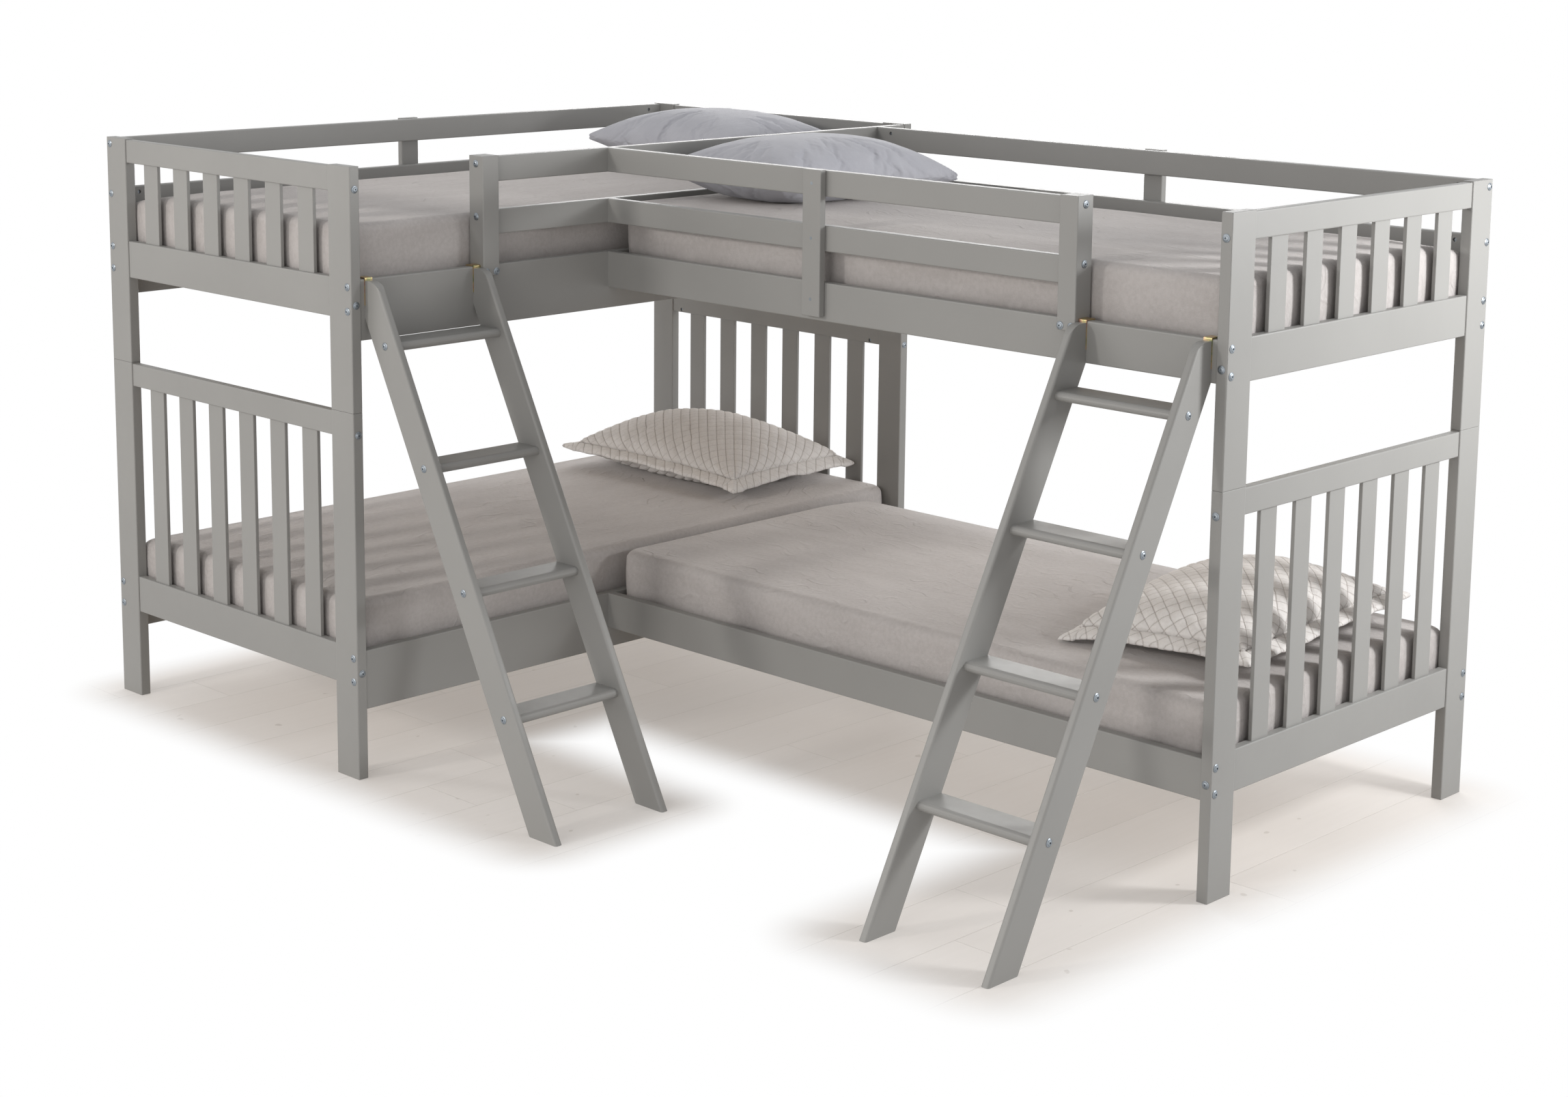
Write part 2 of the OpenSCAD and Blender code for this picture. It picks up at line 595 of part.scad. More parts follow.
// Bunk A's front cleats are relieved round the heads of the junction bolts
module head_relief(k) for (y = [b_mid0, b_mid1])
  translate([a_in1 - head_h - 1, y - head_d / 2 - 2, z_rail[k] - bolt_drop_2 - head_d])
    cube([head_h + 2, head_d + 4, head_d * 2.4]);
module cleats() color(BARE) placed() for (k = [0, 1]) {
  z = z_deck[k] - deck_t - cleat_h;
  translate([a_in0, post_t, z]) cube([cleat_w, run_a, cleat_h]);
  difference() {
    translate([a_in1 - cleat_w, post_t, z]) cube([cleat_w, run_a, cleat_h]);
    head_relief(k);
  }
  translate([a_out, b_in0, z]) cube([run_b, cleat_w, cleat_h]);
  translate([a_out, b_in1 - cleat_w, z]) cube([run_b, cleat_w, cleat_h]);
}

module bed_bolts() color(ZINC) placed() {
  bolts(all_rails);
  bolts(all_guards);
  bolts(gate_a_bolts);
  bolts(gate_b_bolts);
}
module panel_bolts() color(ZINC) placed() bolts(all_panels);
module barrel_nuts() color(ZINC) placed() {
  nuts(all_rails);
  nuts(all_guards);
  nuts(all_panels);
}
module post_pins() color(ZINC) placed() pins(concat(foot_pins, head_pins, end_pins));

// Ladders. Local frame: +X out from the rail's outer face, +Y across the ladder, Z from the floor.
lad_top = z_rail[1] - ladder_drop;
bend_z = lad_top - stringer_flat;
lean = atan(ladder_reach / bend_z);
shoulder_x = stringer_w - stringer_flat * tan(lean);
shoulder_run = shoulder_r * tan((90 - lean) / 2);
stringer_len = lad_top / cos(lean);
// The outline that the leaning board is cut to: upright back, round shoulder, level foot
stringer_cut = concat(
  [[ladder_reach + foot_cut, 0], [ladder_reach + foot_cut - 20, 20], [0, 20], [0, lad_top]],
  [for (i = [0 : 8]) let (a = 90 - (90 - lean) * i / 8)
    [shoulder_x - shoulder_run + shoulder_r * cos(a), lad_top - shoulder_r + shoulder_r * sin(a)]],
  [[shoulder_x + stringer_w, lad_top - shoulder_r], [ladder_reach + stringer_w * 1.6, 0]]);
stringer_sec = concat(
  arc(stringer_w * cos(lean) - nose_r, nose_r, nose_r, -90, 0, 4),
  arc(stringer_w * cos(lean) - nose_r, stringer_t - nose_r, nose_r, 0, 90, 4),
  arc(arris, stringer_t - arris, arris, 90, 180, 3),
  arc(arris, arris, arris, 180, 270, 3));
function tread_z(i) = z_rail[1] - tread_drop - (tread_n - 1 - i) * tread_rise;
function tread_x(z) = (bend_z - z) * tan(lean);
bolt_in = 53;
tread_bolts = [for (i = [0 : tread_n - 1], s = [0, 1])
  [[tread_x(tread_z(i)) + tread_d * 0.65, s * ladder_w, tread_z(i) - tread_t * 0.48],
  s == 0 ? 90 : -90, 0, bolt_tread_l]];
module stringer() difference() {
  intersection() {
    translate([ladder_reach, 0, 0]) rotate([0, -lean, 0]) translate([0, 0, -stringer_w])
      linear_extrude(stringer_len + 2 * stringer_w) polygon(stringer_sec);
    translate([0, stringer_t + 1, 0]) rotate([90, 0, 0])
      linear_extrude(stringer_t + 2) polygon(stringer_cut);
  }
  translate([-1, -1, lad_top - hook_leg]) cube([1 + hook_t, stringer_t + 2, hook_leg + 1]);
}
module stringers() {
  difference() {
    union() {
      stringer();
      translate([0, ladder_w - stringer_t, 0]) stringer();
    }
    bores(tread_bolts);
  }
}
module tread(z) {
  x = tread_x(z);
  w = ladder_w - 2 * stringer_t;
  r = tread_t / 2;
  sec = concat([[x + 1.5, z], [x, z - 1.5], [x, z - tread_t + 1.5], [x + 1.5, z - tread_t]],
    arc(x + tread_d - r, z - r, r, -90, 90, 8));
  translate([0, stringer_t + w, 0]) rotate([90, 0, 0]) linear_extrude(w) polygon(sec);
}
module treads() difference() {
  for (i = [0 : tread_n - 1]) tread(tread_z(i));
  bores(tread_bolts);
  for (b = tread_bolts) translate(nut_at(b)) translate([0, 0, -tread_t])
    cylinder(h = tread_t + nut_l / 2 - 1.6, d = nut_d + 0.4);
}
// Strap let into the stringer's back, over the rail and down behind it
hook_z = ladder_drop + hook_play;
module hook() {
  back = -rail_t - hook_play;
  outline = concat(
    [[hook_t, -hook_leg], [hook_t, hook_z]],
    arc(0, hook_z, hook_t, 0, 90, 4),
    arc(back, hook_z, hook_t, 90, 180, 4),
    [[back - hook_t, hook_z - hook_drop], [back, hook_z - hook_drop], [back, hook_z], [0, hook_z],
    [0, -hook_leg]]);
  translate([0, stringer_t / 2 + hook_w / 2, lad_top]) rotate([90, 0, 0])
    linear_extrude(hook_w) polygon(outline);
}
module hooks() {
  hook();
  translate([0, ladder_w - stringer_t, 0]) hook();
}
module tread_fixings() {
  bolts(tread_bolts);
  for (b = tread_bolts) difference() {
    translate(nut_at(b)) cylinder(h = nut_l - 4, d = nut_d, center = true);
    translate(b[0]) along(b[1]) cylinder(h = b[3] + 20, d = bolt_d + 0.2);
  }
}
module at_a() placed() translate([a_out, post_t + ladder_gap, 0]) children();
module at_b() placed() translate([xb - post_t - ladder_gap - ladder_w, b_out, 0])
  rotate([0, 0, -90]) children();
module ladder_a_stringers() color(PAINT) at_a() stringers();
module ladder_a_treads() color(PAINT_2) at_a() treads();
module ladder_a_hooks() color(GOLD) at_a() hooks();
module ladder_a_bolts() color(ZINC) at_a() tread_fixings();
module ladder_b_stringers() color(PAINT) at_b() stringers();
module ladder_b_treads() color(PAINT_2) at_b() treads();
module ladder_b_hooks() color(GOLD) at_b() hooks();
module ladder_b_bolts() color(ZINC) at_b() tread_fixings();

// Mattress: rings of a rounded outline, from the flat underside over the edge to the crown
edge_r = 26;
corner_r = 44;
roll = 230;
// The top falls over the last part of its width, towards -x
function fallen(x, w, z, h, fall) =
  z - fall * pow(max(0, 1 - (x + w / 2) / roll), 1.6) * pow(z / h, 2);
function ring(w, l, d, z, h, fall) = let (r = max(corner_r - d, 12), a = w / 2 - d - r, b = l / 2 - d - r)
  [for (q = [0 : 3], i = [0 : 5]) let (t = q * 90 + i * 18,
    sx = (q == 0 || q == 3) ? 1 : -1, sy = q < 2 ? 1 : -1, x = sx * a + r * cos(t))
    [x, sy * b + r * sin(t), fallen(x, w, z, h, fall)]];
function shell_rings(h) = [[18, 0], [8, 3], [2, 14], [0, h * 0.45], [2, h - edge_r - crown],
  [4.5, h - crown - edge_r * 0.55], [10, h - crown - edge_r * 0.25], [19, h - crown - edge_r * 0.06],
  [edge_r + 6, h - crown], [80, h - crown * 0.45], [150, h - crown * 0.1], [roll, h]];
function facets(m, n) = concat(
  [for (j = [0 : n - 2], i = [0 : m - 1]) each [
    [j * m + i, (j + 1) * m + (i + 1) % m, j * m + (i + 1) % m],
    [j * m + i, (j + 1) * m + i, (j + 1) * m + (i + 1) % m]]],
  [for (i = [1 : m - 2]) [0, i, i + 1]],
  [for (i = [1 : m - 2]) [(n - 1) * m, (n - 1) * m + i + 1, (n - 1) * m + i]]);
module mattress(h, fall) {
  rings = [for (g = shell_rings(h)) ring(mattress_w, mattress_l, g[0], g[1], h, fall)];
  polyhedron([for (g = rings) each g], facets(24, len(rings)));
}
// Middles of the beds: the upper ones clear the inner tongues of the ladder posts
gate_in = gate_post_d / 2 - rail_t / 2;
ax = [(a_in0 + a_in1) / 2, (a_in0 + a_in1 - gate_in) / 2];
by = [(b_in0 + b_in1) / 2, (b_in0 + b_in1 + gate_in) / 2];
bx = xb - post_t - wing_play - mattress_l / 2;
module mattress_a_low() color(SHEET) placed()
  translate([ax[0], bunk_a_l / 2, z_deck[0]]) mattress(mattress_low_h, fall_low);
module mattress_a_up() color(SHEET) placed()
  translate([ax[1], bunk_a_l / 2, z_deck[1]]) mattress(mattress_up_h, fall_up);
module mattress_b_low() color(SHEET) placed()
  translate([bx, by[0], z_deck[0]]) rotate([0, 0, -90]) mattress(mattress_low_h, fall_low);
module mattress_b_up() color(SHEET) placed()
  translate([bx, by[1], z_deck[1]]) rotate([0, 0, -90]) mattress(mattress_up_h, fall_up);

// Stuffed pieces: a grid of top and underside points, joined by a thin edge.
// The diagonal of each cell turns with its parity, so quilting seams run true.
function cell(o, m, i, j, flip) = let (a = o + i * m + j, b = a + 1, c = a + m, d = c + 1)
  (i + j) % 2 == 0 ? (flip ? [[a, b, d], [a, d, c]] : [[a, d, b], [a, c, d]])
  : (flip ? [[a, b, c], [b, d, c]] : [[a, c, b], [b, c, d]]);
module stuffed(nx, ny, tops, unders) {
  m = ny + 1;
  o = (nx + 1) * m;
  polyhedron(concat(tops, unders), concat(
    [for (i = [0 : nx - 1], j = [0 : ny - 1]) each cell(0, m, i, j, false)],
    [for (i = [0 : nx - 1], j = [0 : ny - 1]) each cell(o, m, i, j, true)],
    [for (i = [0 : nx - 1]) each [[i * m, o + i * m, o + i * m + m], [i * m, o + i * m + m, i * m + m],
      [i * m + ny, o + i * m + m + ny, o + i * m + ny], [i * m + ny, i * m + m + ny, o + i * m + m + ny]]],
    [for (j = [0 : ny - 1]) each [[j, o + j + 1, o + j], [j, j + 1, o + j + 1],
      [nx * m + j, o + nx * m + j, o + nx * m + j + 1], [nx * m + j, o + nx * m + j + 1, nx * m + j + 1]]]));
}
// Fullness over the pad, from 0 at the seam to 1 in the middle
function full(u, v, e, a) = pow(max(0, (1 - pow(abs(u), e)) * (1 - pow(abs(v), e))), a);
function drawn(u, v, l, w, d) = [u * (l / 2 - d * (1 - v * v)), v * (w / 2 - d * (1 - u * u))];
seat = 0.3;
module pillow() {
  nx = 16;
  ny = 12;
  seam = pillow_h * 0.36;
  us = [for (i = [0 : nx]) sin(90 * (2 * i / nx - 1))];
  vs = [for (j = [0 : ny]) sin(90 * (2 * j / ny - 1))];
  tops = [for (u = us, v = vs) let (p = drawn(u, v, pillow_l, pillow_w, 12), f = full(u, v, 2.6, 0.5))
    [p[0], p[1], seam + 1.5 + (pillow_h - seam - 1.5) * f]];
  unders = [for (u = us, v = vs) let (p = drawn(u, v, pillow_l, pillow_w, 12), f = full(u, v, 2.6, 0.5))
    [p[0], p[1], max(seat, seam - 1.5 - seam * 1.7 * f)]];
  stuffed(nx, ny, tops, unders);
}
sham_nx = 28;
sham_ny = 18;
module sham(h) {
  seam = h * 0.36;
  fu = 1 - 2 * flange_w / sham_l;
  fv = 1 - 2 * flange_w / sham_w;
  function fallen_rim(u, v) = flange_fall * max(0, (abs(u) - fu) / (1 - fu), (abs(v) - fv) / (1 - fv));
  tops = [for (i = [0 : sham_nx], j = [0 : sham_ny]) let (u = 2 * i / sham_nx - 1,
    v = 2 * j / sham_ny - 1, p = drawn(u, v, sham_l, sham_w, 16), f = full(u / fu, v / fv, 1.6, 0.42))
    [p[0], p[1], seam + 3 - fallen_rim(u, v) + (h - seam - 3 - quilt_puff) * f
      + ((i + j) % 2 == 1 && f > 0 ? quilt_puff : 0)]];
  unders = [for (i = [0 : sham_nx], j = [0 : sham_ny]) let (u = 2 * i / sham_nx - 1,
    v = 2 * j / sham_ny - 1, p = drawn(u, v, sham_l, sham_w, 16), f = full(u / fu, v / fv, 1.6, 0.42))
    [p[0], p[1], max(seat, seam - 3 - fallen_rim(u, v) - seam * 1.25 * f)]];
  stuffed(sham_nx, sham_ny, tops, unders);
}
// Half the room that a piece of length l and width w takes across its bed when turned by t
function reach(l, w, t) = w / 2 * cos(t) + l / 2 * sin(t);
pillow_reach = reach(pillow_l, pillow_w, pillow_turn);
module pillow_a() color(LINEN) placed()
  translate([ax[1] + 17, bunk_a_l - post_t - pillow_a_in - pillow_reach, z_deck[1] + mattress_up_h])
  rotate([0, 0, -pillow_turn]) pillow();
module pillow_b() color(LINEN) placed()
  translate([a_out + pillow_b_in + pillow_reach, by[1] - 52, z_deck[1] + mattress_up_h])
  rotate([0, 0, 90 - pillow_turn]) pillow();
module sham_a() color(SHEET) placed()
  translate([ax[0] - 10, bunk_a_l - post_t - sham_a_in - reach(sham_l, sham_w, sham_a_turn),
    z_deck[0] + mattress_low_h]) rotate([0, 0, sham_a_turn]) sham(sham_a_h);
module sham_b() color(SHEET) placed()
  translate([xb - post_t - sham_b_in - reach(sham_l, sham_w, sham_b_turn), by[0] + 25,
    z_deck[0] + mattress_low_h]) rotate([0, 0, 90 + sham_b_turn]) sham(sham_b_h);

foot_posts_low();
foot_posts_up();
head_posts_low();
head_posts_up();
end_posts_low();
end_posts_up();
foot_rails_low();
foot_rails_up();
head_rails_low();
head_rails_up();
end_rails_low();
end_rails_up();
foot_slats_low();
foot_slats_up();
head_slats_low();
head_slats_up();
end_slats_low();
end_slats_up();
rail_a_back_low();
rail_a_front_low();
rail_b_front_low();
rail_b_back_low();
rail_a_back_up();
rail_a_front_up();
rail_b_front_up();
rail_b_back_up();
guards_a_back();
guards_a_front();
guards_b_front();
guards_b_back();
gate_post_a();
gate_post_b();
tie_boards();
deck_a_low();
deck_b_low();
deck_a_up();
deck_b_up();
cleats();
bed_bolts();
panel_bolts();
barrel_nuts();
post_pins();
tie_screws();
ladder_a_stringers();
ladder_a_treads();
ladder_a_hooks();
ladder_a_bolts();
ladder_b_stringers();
ladder_b_treads();
ladder_b_hooks();
ladder_b_bolts();
mattress_a_low();
mattress_b_low();
mattress_a_up();
mattress_b_up();
pillow_a();
pillow_b();
sham_a();
sham_b();
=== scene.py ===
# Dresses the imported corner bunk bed: paint, metal, sheets, pillows, floor, lights and camera.
import math

import bpy
import numpy as np
from mathutils import Matrix, Vector


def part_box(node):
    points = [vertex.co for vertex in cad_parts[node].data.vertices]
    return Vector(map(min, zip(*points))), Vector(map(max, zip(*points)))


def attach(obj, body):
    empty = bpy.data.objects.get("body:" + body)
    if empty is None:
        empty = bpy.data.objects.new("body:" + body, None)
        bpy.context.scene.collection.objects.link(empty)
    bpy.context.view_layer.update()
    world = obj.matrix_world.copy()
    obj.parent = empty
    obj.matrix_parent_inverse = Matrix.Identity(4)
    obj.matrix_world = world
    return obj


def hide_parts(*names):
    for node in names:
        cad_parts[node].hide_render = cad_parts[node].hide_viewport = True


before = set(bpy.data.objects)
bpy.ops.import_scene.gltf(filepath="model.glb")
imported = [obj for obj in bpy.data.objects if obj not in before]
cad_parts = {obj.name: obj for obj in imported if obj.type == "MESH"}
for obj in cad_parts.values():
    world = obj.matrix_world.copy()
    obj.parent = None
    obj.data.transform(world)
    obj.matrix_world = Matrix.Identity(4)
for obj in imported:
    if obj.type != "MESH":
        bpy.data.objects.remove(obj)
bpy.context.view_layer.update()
scene = bpy.context.scene
scene.view_settings.view_transform = "Standard"


# solved from the frame's own straight edges in the photograph
cameraSet = {
    "place": (4.6608, -4.7572, 2.1458),
    "yaw": 44.191,  # degrees, turned left from +Y
    "dip": 9.466,  # degrees below level
    "roll": 0.6,  # degrees, turned against the clock
    "lens": 60.319,
    "sensor": 36,
    "rise": -0.13,  # vertical shift, a share of the frame's width
}


def makeCamera(s):
    # The three axes come from yaw and dip, then the picture is rolled about the line of sight
    yaw, dip, roll = (math.radians(s[k]) for k in ("yaw", "dip", "roll"))
    ahead = Vector((-math.sin(yaw) * math.cos(dip), math.cos(yaw) * math.cos(dip), -math.sin(dip)))
    right = Vector((math.cos(yaw), math.sin(yaw), 0))
    up = right.cross(ahead)
    right, up = (right * math.cos(roll) + up * math.sin(roll), up * math.cos(roll) - right * math.sin(roll))
    data = bpy.data.cameras.new("photoCamera")
    data.lens, data.sensor_width = s["lens"], s["sensor"]
    data.shift_y = s["rise"]
    cam = bpy.data.objects.new("photoCamera", data)
    scene.collection.objects.link(cam)
    place = Matrix((right, up, -ahead)).transposed().to_4x4()
    place.translation = Vector(s["place"])
    cam.matrix_world = place
    scene.camera = cam


makeCamera(cameraSet)
print("camera placed")


# A shader socket that takes part in Python sums
class Value:
    def __init__(self, tree, socket):
        self.tree, self.socket = tree, socket

    def math(self, operation, *others):
        n = self.tree.nodes.new("ShaderNodeMath")
        n.operation = operation
        for i, v in enumerate((self,) + others):
            if isinstance(v, Value):
                self.tree.links.new(v.socket, n.inputs[i])
            else:
                n.inputs[i].default_value = v
        return Value(self.tree, n.outputs[0])

    def lift(self, other):
        # A plain number becomes a socket of its own, so that reflected sums read the same way
        n = self.tree.nodes.new("ShaderNodeValue")
        n.outputs[0].default_value = other
        return Value(self.tree, n.outputs[0])

    def __add__(self, o): return self.math("ADD", o)
    def __radd__(self, o): return self.math("ADD", o)
    def __sub__(self, o): return self.math("SUBTRACT", o)
    def __rsub__(self, o): return self.lift(o).math("SUBTRACT", self)
    def __mul__(self, o): return self.math("MULTIPLY", o)
    def __rmul__(self, o): return self.math("MULTIPLY", o)
    def __truediv__(self, o): return self.math("DIVIDE", o)
    def __pow__(self, o): return self.math("POWER", o)
    def abs(self): return self.math("ABSOLUTE")
    def sin(self): return self.math("SINE")
    def least(self, o): return self.math("MINIMUM", o)
    def most(self, o): return self.math("MAXIMUM", o)
    def step(self, lo, hi):
        # 0 below lo, 1 above hi, and a smooth rise between
        n = self.tree.nodes.new("ShaderNodeMapRange")
        n.interpolation_type = "SMOOTHSTEP"
        self.tree.links.new(self.socket, n.inputs["Value"])
        n.inputs["From Min"].default_value, n.inputs["From Max"].default_value = lo, hi
        return Value(self.tree, n.outputs["Result"])


# A material, or the world, being made from nodes
class Finish:
    def __init__(self, name, shelf="materials"):
        self.data = getattr(bpy.data, shelf).new(name)
        self.data.use_nodes = True
        self.tree = self.data.node_tree
        self.tree.nodes.clear()

    def feed(self, socket, v):
        # A socket takes a link, a colour of three parts or a plain number
        if isinstance(v, Value):
            self.tree.links.new(v.socket, socket)
        elif isinstance(v, bpy.types.NodeSocket):
            self.tree.links.new(v, socket)
        elif isinstance(v, tuple) and socket.type == "RGBA":
            socket.default_value = (*v, 1)
        else:
            socket.default_value = v

    def make(self, kind, settings=None, **inputs):
        # Any node, from its type, its settings and its sockets by name, or by number as _0, _1 and so on
        n = self.tree.nodes.new(kind)
        for key, v in (settings or {}).items():
            if key == "stops":
                ramp = n.color_ramp
                while len(ramp.elements) < len(v):
                    ramp.elements.new(0.5)
                for e, (at, colour) in zip(ramp.elements, v):
                    e.position, e.color = at, (*colour, 1)
            else:
                setattr(n, key, v)
        for key, v in inputs.items():
            self.feed(n.inputs[int(key[1:])] if key[0] == "_" else n.inputs[key.replace("_", " ")], v)
        return n

    def value(self, socket):
        return Value(self.tree, socket)

    def where(self, out="Object"):
        # Three values: the surface point's x, y and z in metres, or its place on the UV map
        n = self.make("ShaderNodeSeparateXYZ", Vector=self.make("ShaderNodeTexCoord").outputs[out])
        return [self.value(n.outputs[i]) for i in range(3)]

    def point(self, x, y, z):
        return self.make("ShaderNodeCombineXYZ", X=x, Y=y, Z=z).outputs[0]

    def noise(self, at, scale, detail=2.0, rough=0.5):
        n = self.make("ShaderNodeTexNoise", Vector=at, Scale=scale, Detail=detail, Roughness=rough)
        return self.value(n.outputs[0])

    def blendColour(self, share, a, b):
        # Colour a where share is 0, colour b where it is 1; a colour Mix has its sockets at 0, 6, 7 and 2
        return self.make("ShaderNodeMix", {"data_type": "RGBA"}, _0=share, _6=a, _7=b).outputs[2]

    def bump(self, height, depth, strength=1.0, under=None):
        # A normal tilted by height times depth in metres, over the normal of a finer bump under it
        extra = {"Normal": under} if under is not None else {}
        return self.make("ShaderNodeBump", Height=height, Distance=depth, Strength=strength, **extra).outputs[0]

    def rays(self):
        # Two values: 1 for what the camera sees, and 1 for that or for what shows in a reflection
        path = self.make("ShaderNodeLightPath")
        seen = self.value(path.outputs["Is Camera Ray"])
        return seen, seen.most(self.value(path.outputs["Is Glossy Ray"]))

    def surface(self, **inputs):
        shader = self.make("ShaderNodeBsdfPrincipled", **inputs)
        self.make("ShaderNodeOutputMaterial", Surface=shader.outputs[0])
        return self.data


# in each finish's settings, noise gives the scale, detail and roughness of its patterns
paintLook = {
    "colour": (0.260, 0.256, 0.246), "pale": (0.277, 0.273, 0.262), "speck": (0.234, 0.230, 0.220),
    "rough": 0.44, "roughSpread": 0.14, "peel": 0.00005, "grain": 0.00005,
    "noise": {"drift": (2.3, 3), "spray": (420, 2), "peel": (260, 2, 0.6), "grain": (14, 4, 0.62), "rough": (38, 3)},
}


def paintedWood(s):
    # Satin grey paint: a faint drift of tone, spray texture, and a trace of grain under it
    f = Finish("greyPaint")
    x, y, z = f.where()
    at = f.point(x, y, z)
    noise = s["noise"]
    drift, spray = f.noise(at, *noise["drift"]), f.noise(at, *noise["spray"])
    colour = f.blendColour(drift.step(0.3, 0.7), s["colour"], s["pale"])
    colour = f.blendColour(spray.step(0.62, 0.75) * 0.25, colour, s["speck"])
    grain = f.noise(f.point(x * 9, y * 9, z * 9), *noise["grain"])
    normal = f.bump(f.noise(at, *noise["peel"]), s["peel"], 1.0, f.bump(grain, s["grain"]))
    rough = s["rough"] + (f.noise(at, *noise["rough"]) - 0.5) * s["roughSpread"]
    return f.surface(Base_Color=colour, Roughness=rough, Normal=normal, IOR=1.47)


boardLook = {"pale": (0.66, 0.52, 0.34), "dark": (0.48, 0.33, 0.18), "rough": 0.62,
             "stretch": (1.2, 22),  # noise scale along the boards and across them
             "rings": 160, "warp": 16, "fibre": 0.0002,
             "noise": {"warp": (1.4, 3), "fibre": (9, 4, 0.7)}}


def bareBoards(s, name, along):
    # Planed softwood: rings are a sine across the boards, warped by a noise stretched along them
    f = Finish(name)
    p = f.where()
    at = f.point(*(v * s["stretch"][i != along] for i, v in enumerate(p)))
    warp, fibre = f.noise(at, *s["noise"]["warp"]), f.noise(at, *s["noise"]["fibre"])
    rings = ((p[1 - along] * s["rings"] + warp * s["warp"]).sin() * 0.5 + 0.5) ** 1.6
    colour = f.blendColour(rings * 0.5 + fibre * 0.3, s["pale"], s["dark"])
    return f.surface(Base_Color=colour, Roughness=s["rough"] + fibre * 0.12, Normal=f.bump(fibre, s["fibre"]))


zincLook = {"dark": (0.17, 0.19, 0.21), "pale": (0.34, 0.37, 0.40), "rough": 0.34,
            "roughSpread": 0.16, "bump": 0.00004, "noise": {"patch": (90, 3)}}


def zincSteel(s):
    # Bright zinc plate with a slightly uneven sheen: one noise blends the two tones and roughens the paler one
    f = Finish("brightZinc")
    patch = f.noise(f.point(*f.where()), *s["noise"]["patch"])
    return f.surface(Base_Color=f.blendColour(patch, s["dark"], s["pale"]), Metallic=1.0,
                     Roughness=s["rough"] + patch * s["roughSpread"], Normal=f.bump(patch, s["bump"]))


goldLook = {"tints": [(0.3, (0.30, 0.34, 0.18)), (0.45, (0.55, 0.44, 0.22)), (0.58, (0.60, 0.43, 0.26)),
                      (0.72, (0.52, 0.29, 0.25))],
            "rough": 0.3, "roughSpread": 0.15, "noise": {"tint": (75, 2), "rough": (400, 2)}}


def yellowZinc(s):
    # Passivated strap: gold that drifts to rose and green, as the bath leaves it
    f = Finish("yellowZinc")
    at = f.point(*f.where())
    tint, rough = f.noise(at, *s["noise"]["tint"]), f.noise(at, *s["noise"]["rough"])
    colour = f.make("ShaderNodeValToRGB", {"stops": s["tints"]}, Fac=tint).outputs[0]
    return f.surface(Base_Color=colour, Metallic=1.0, Roughness=s["rough"] + rough * s["roughSpread"])


sheetLook = {"colour": (0.476, 0.448, 0.436), "shade": (0.41, 0.381, 0.369), "tip": (0.54, 0.513, 0.501),
             "pile": 0.0009, "clump": 0.0019, "crease": 0.0018,
             "shader": {"Roughness": 0.93, "Sheen_Weight": 0.35, "Sheen_Roughness": 0.45,
                        "Sheen_Tint": (0.95, 0.9, 0.87)},
             "noise": {"pile": (520, 3, 0.65), "clump": (95, 4, 0.6), "lane": (3.2, 4, 0.55), "bend": (7, 2)},
             # each row: creases per metre times two pi, how far they wander, how rare and how short they are
             "creases": ((100, 24, 0.42, 15), (210, 34, 0.44, 27))}


def fleeceSheet(s, name, along):
    # Brushed fleece pulled tight: a fine clumped pile, rubbed lanes and short creases along the bed
    f = Finish(name)
    x, y, z = f.where()
    at = f.point(x, y, z)
    length, across = (x, y) if along == 0 else (y, x)
    pile, clump, bend = (f.noise(at, *s["noise"][part]) for part in ("pile", "clump", "bend"))
    lane = f.noise(f.point(across * 5, length * 1.4, z * 5), *s["noise"]["lane"])
    # A crease is the narrow crest of a wandering wave, kept only where a second noise allows it
    crease = None
    for spacing, sway, low, cell in s["creases"]:
        wave = ((across * spacing + length * 21 + bend * sway).sin() * 0.5 + 0.5) ** 14
        wave = wave * f.noise(at, cell / 3, 1).step(low, low + 0.2) * f.noise(at, cell, 1).step(0.38, 0.6)
        crease = wave if crease is None else crease.most(wave * 0.6)
    colour = f.blendColour((clump * 0.6 + lane * 0.6).step(0.38, 0.8), s["shade"], s["colour"])
    colour = f.blendColour(pile.step(0.55, 0.8) * 0.35, colour, s["tip"])
    normal = f.bump(crease, s["crease"], 1.0, f.bump(clump, s["clump"], 0.8, f.bump(pile, s["pile"])))
    return f.surface(Base_Color=colour, Normal=normal, **s["shader"])


cottonLook = {"colour": (0.474, 0.474, 0.510), "shade": (0.434, 0.434, 0.472), "slub": (0.52, 0.52, 0.547),
              "threads": 5200,  # threads per metre times two pi
              "thread": 0.0003, "crush": 0.0022,
              "shader": {"Roughness": 0.82, "Sheen_Weight": 0.15, "Sheen_Roughness": 0.4},
              "noise": {"slub": (12, 3, 0.7), "soft": (9, 4, 0.62), "crush": (26, 5, 0.66)}}


def cottonCase(s):
    # Plain cotton percale: the sum of two sines for threads both ways on the cloth's UV map, with pressed creases
    f = Finish("cottonCase")
    u, v, w = f.where("UV")
    noise = s["noise"]
    weave = (u * s["threads"]).sin() * 0.25 + (v * s["threads"]).sin() * 0.25 + 0.5
    slub = f.noise(f.point(u * 40, v * 7, w), *noise["slub"])
    soft = f.noise(f.point(u, v, w), *noise["soft"])
    crush = f.noise(f.point(u * 2.2, v, w), *noise["crush"])
    colour = f.blendColour(soft.step(0.3, 0.72), s["shade"], s["colour"])
    colour = f.blendColour(slub.step(0.62, 0.8) * 0.2, colour, s["slub"])
    normal = f.bump(crush, s["crush"], 0.8, f.bump(weave + slub * 0.5, s["thread"], 0.5))
    return f.surface(Base_Color=colour, Normal=normal, **s["shader"])


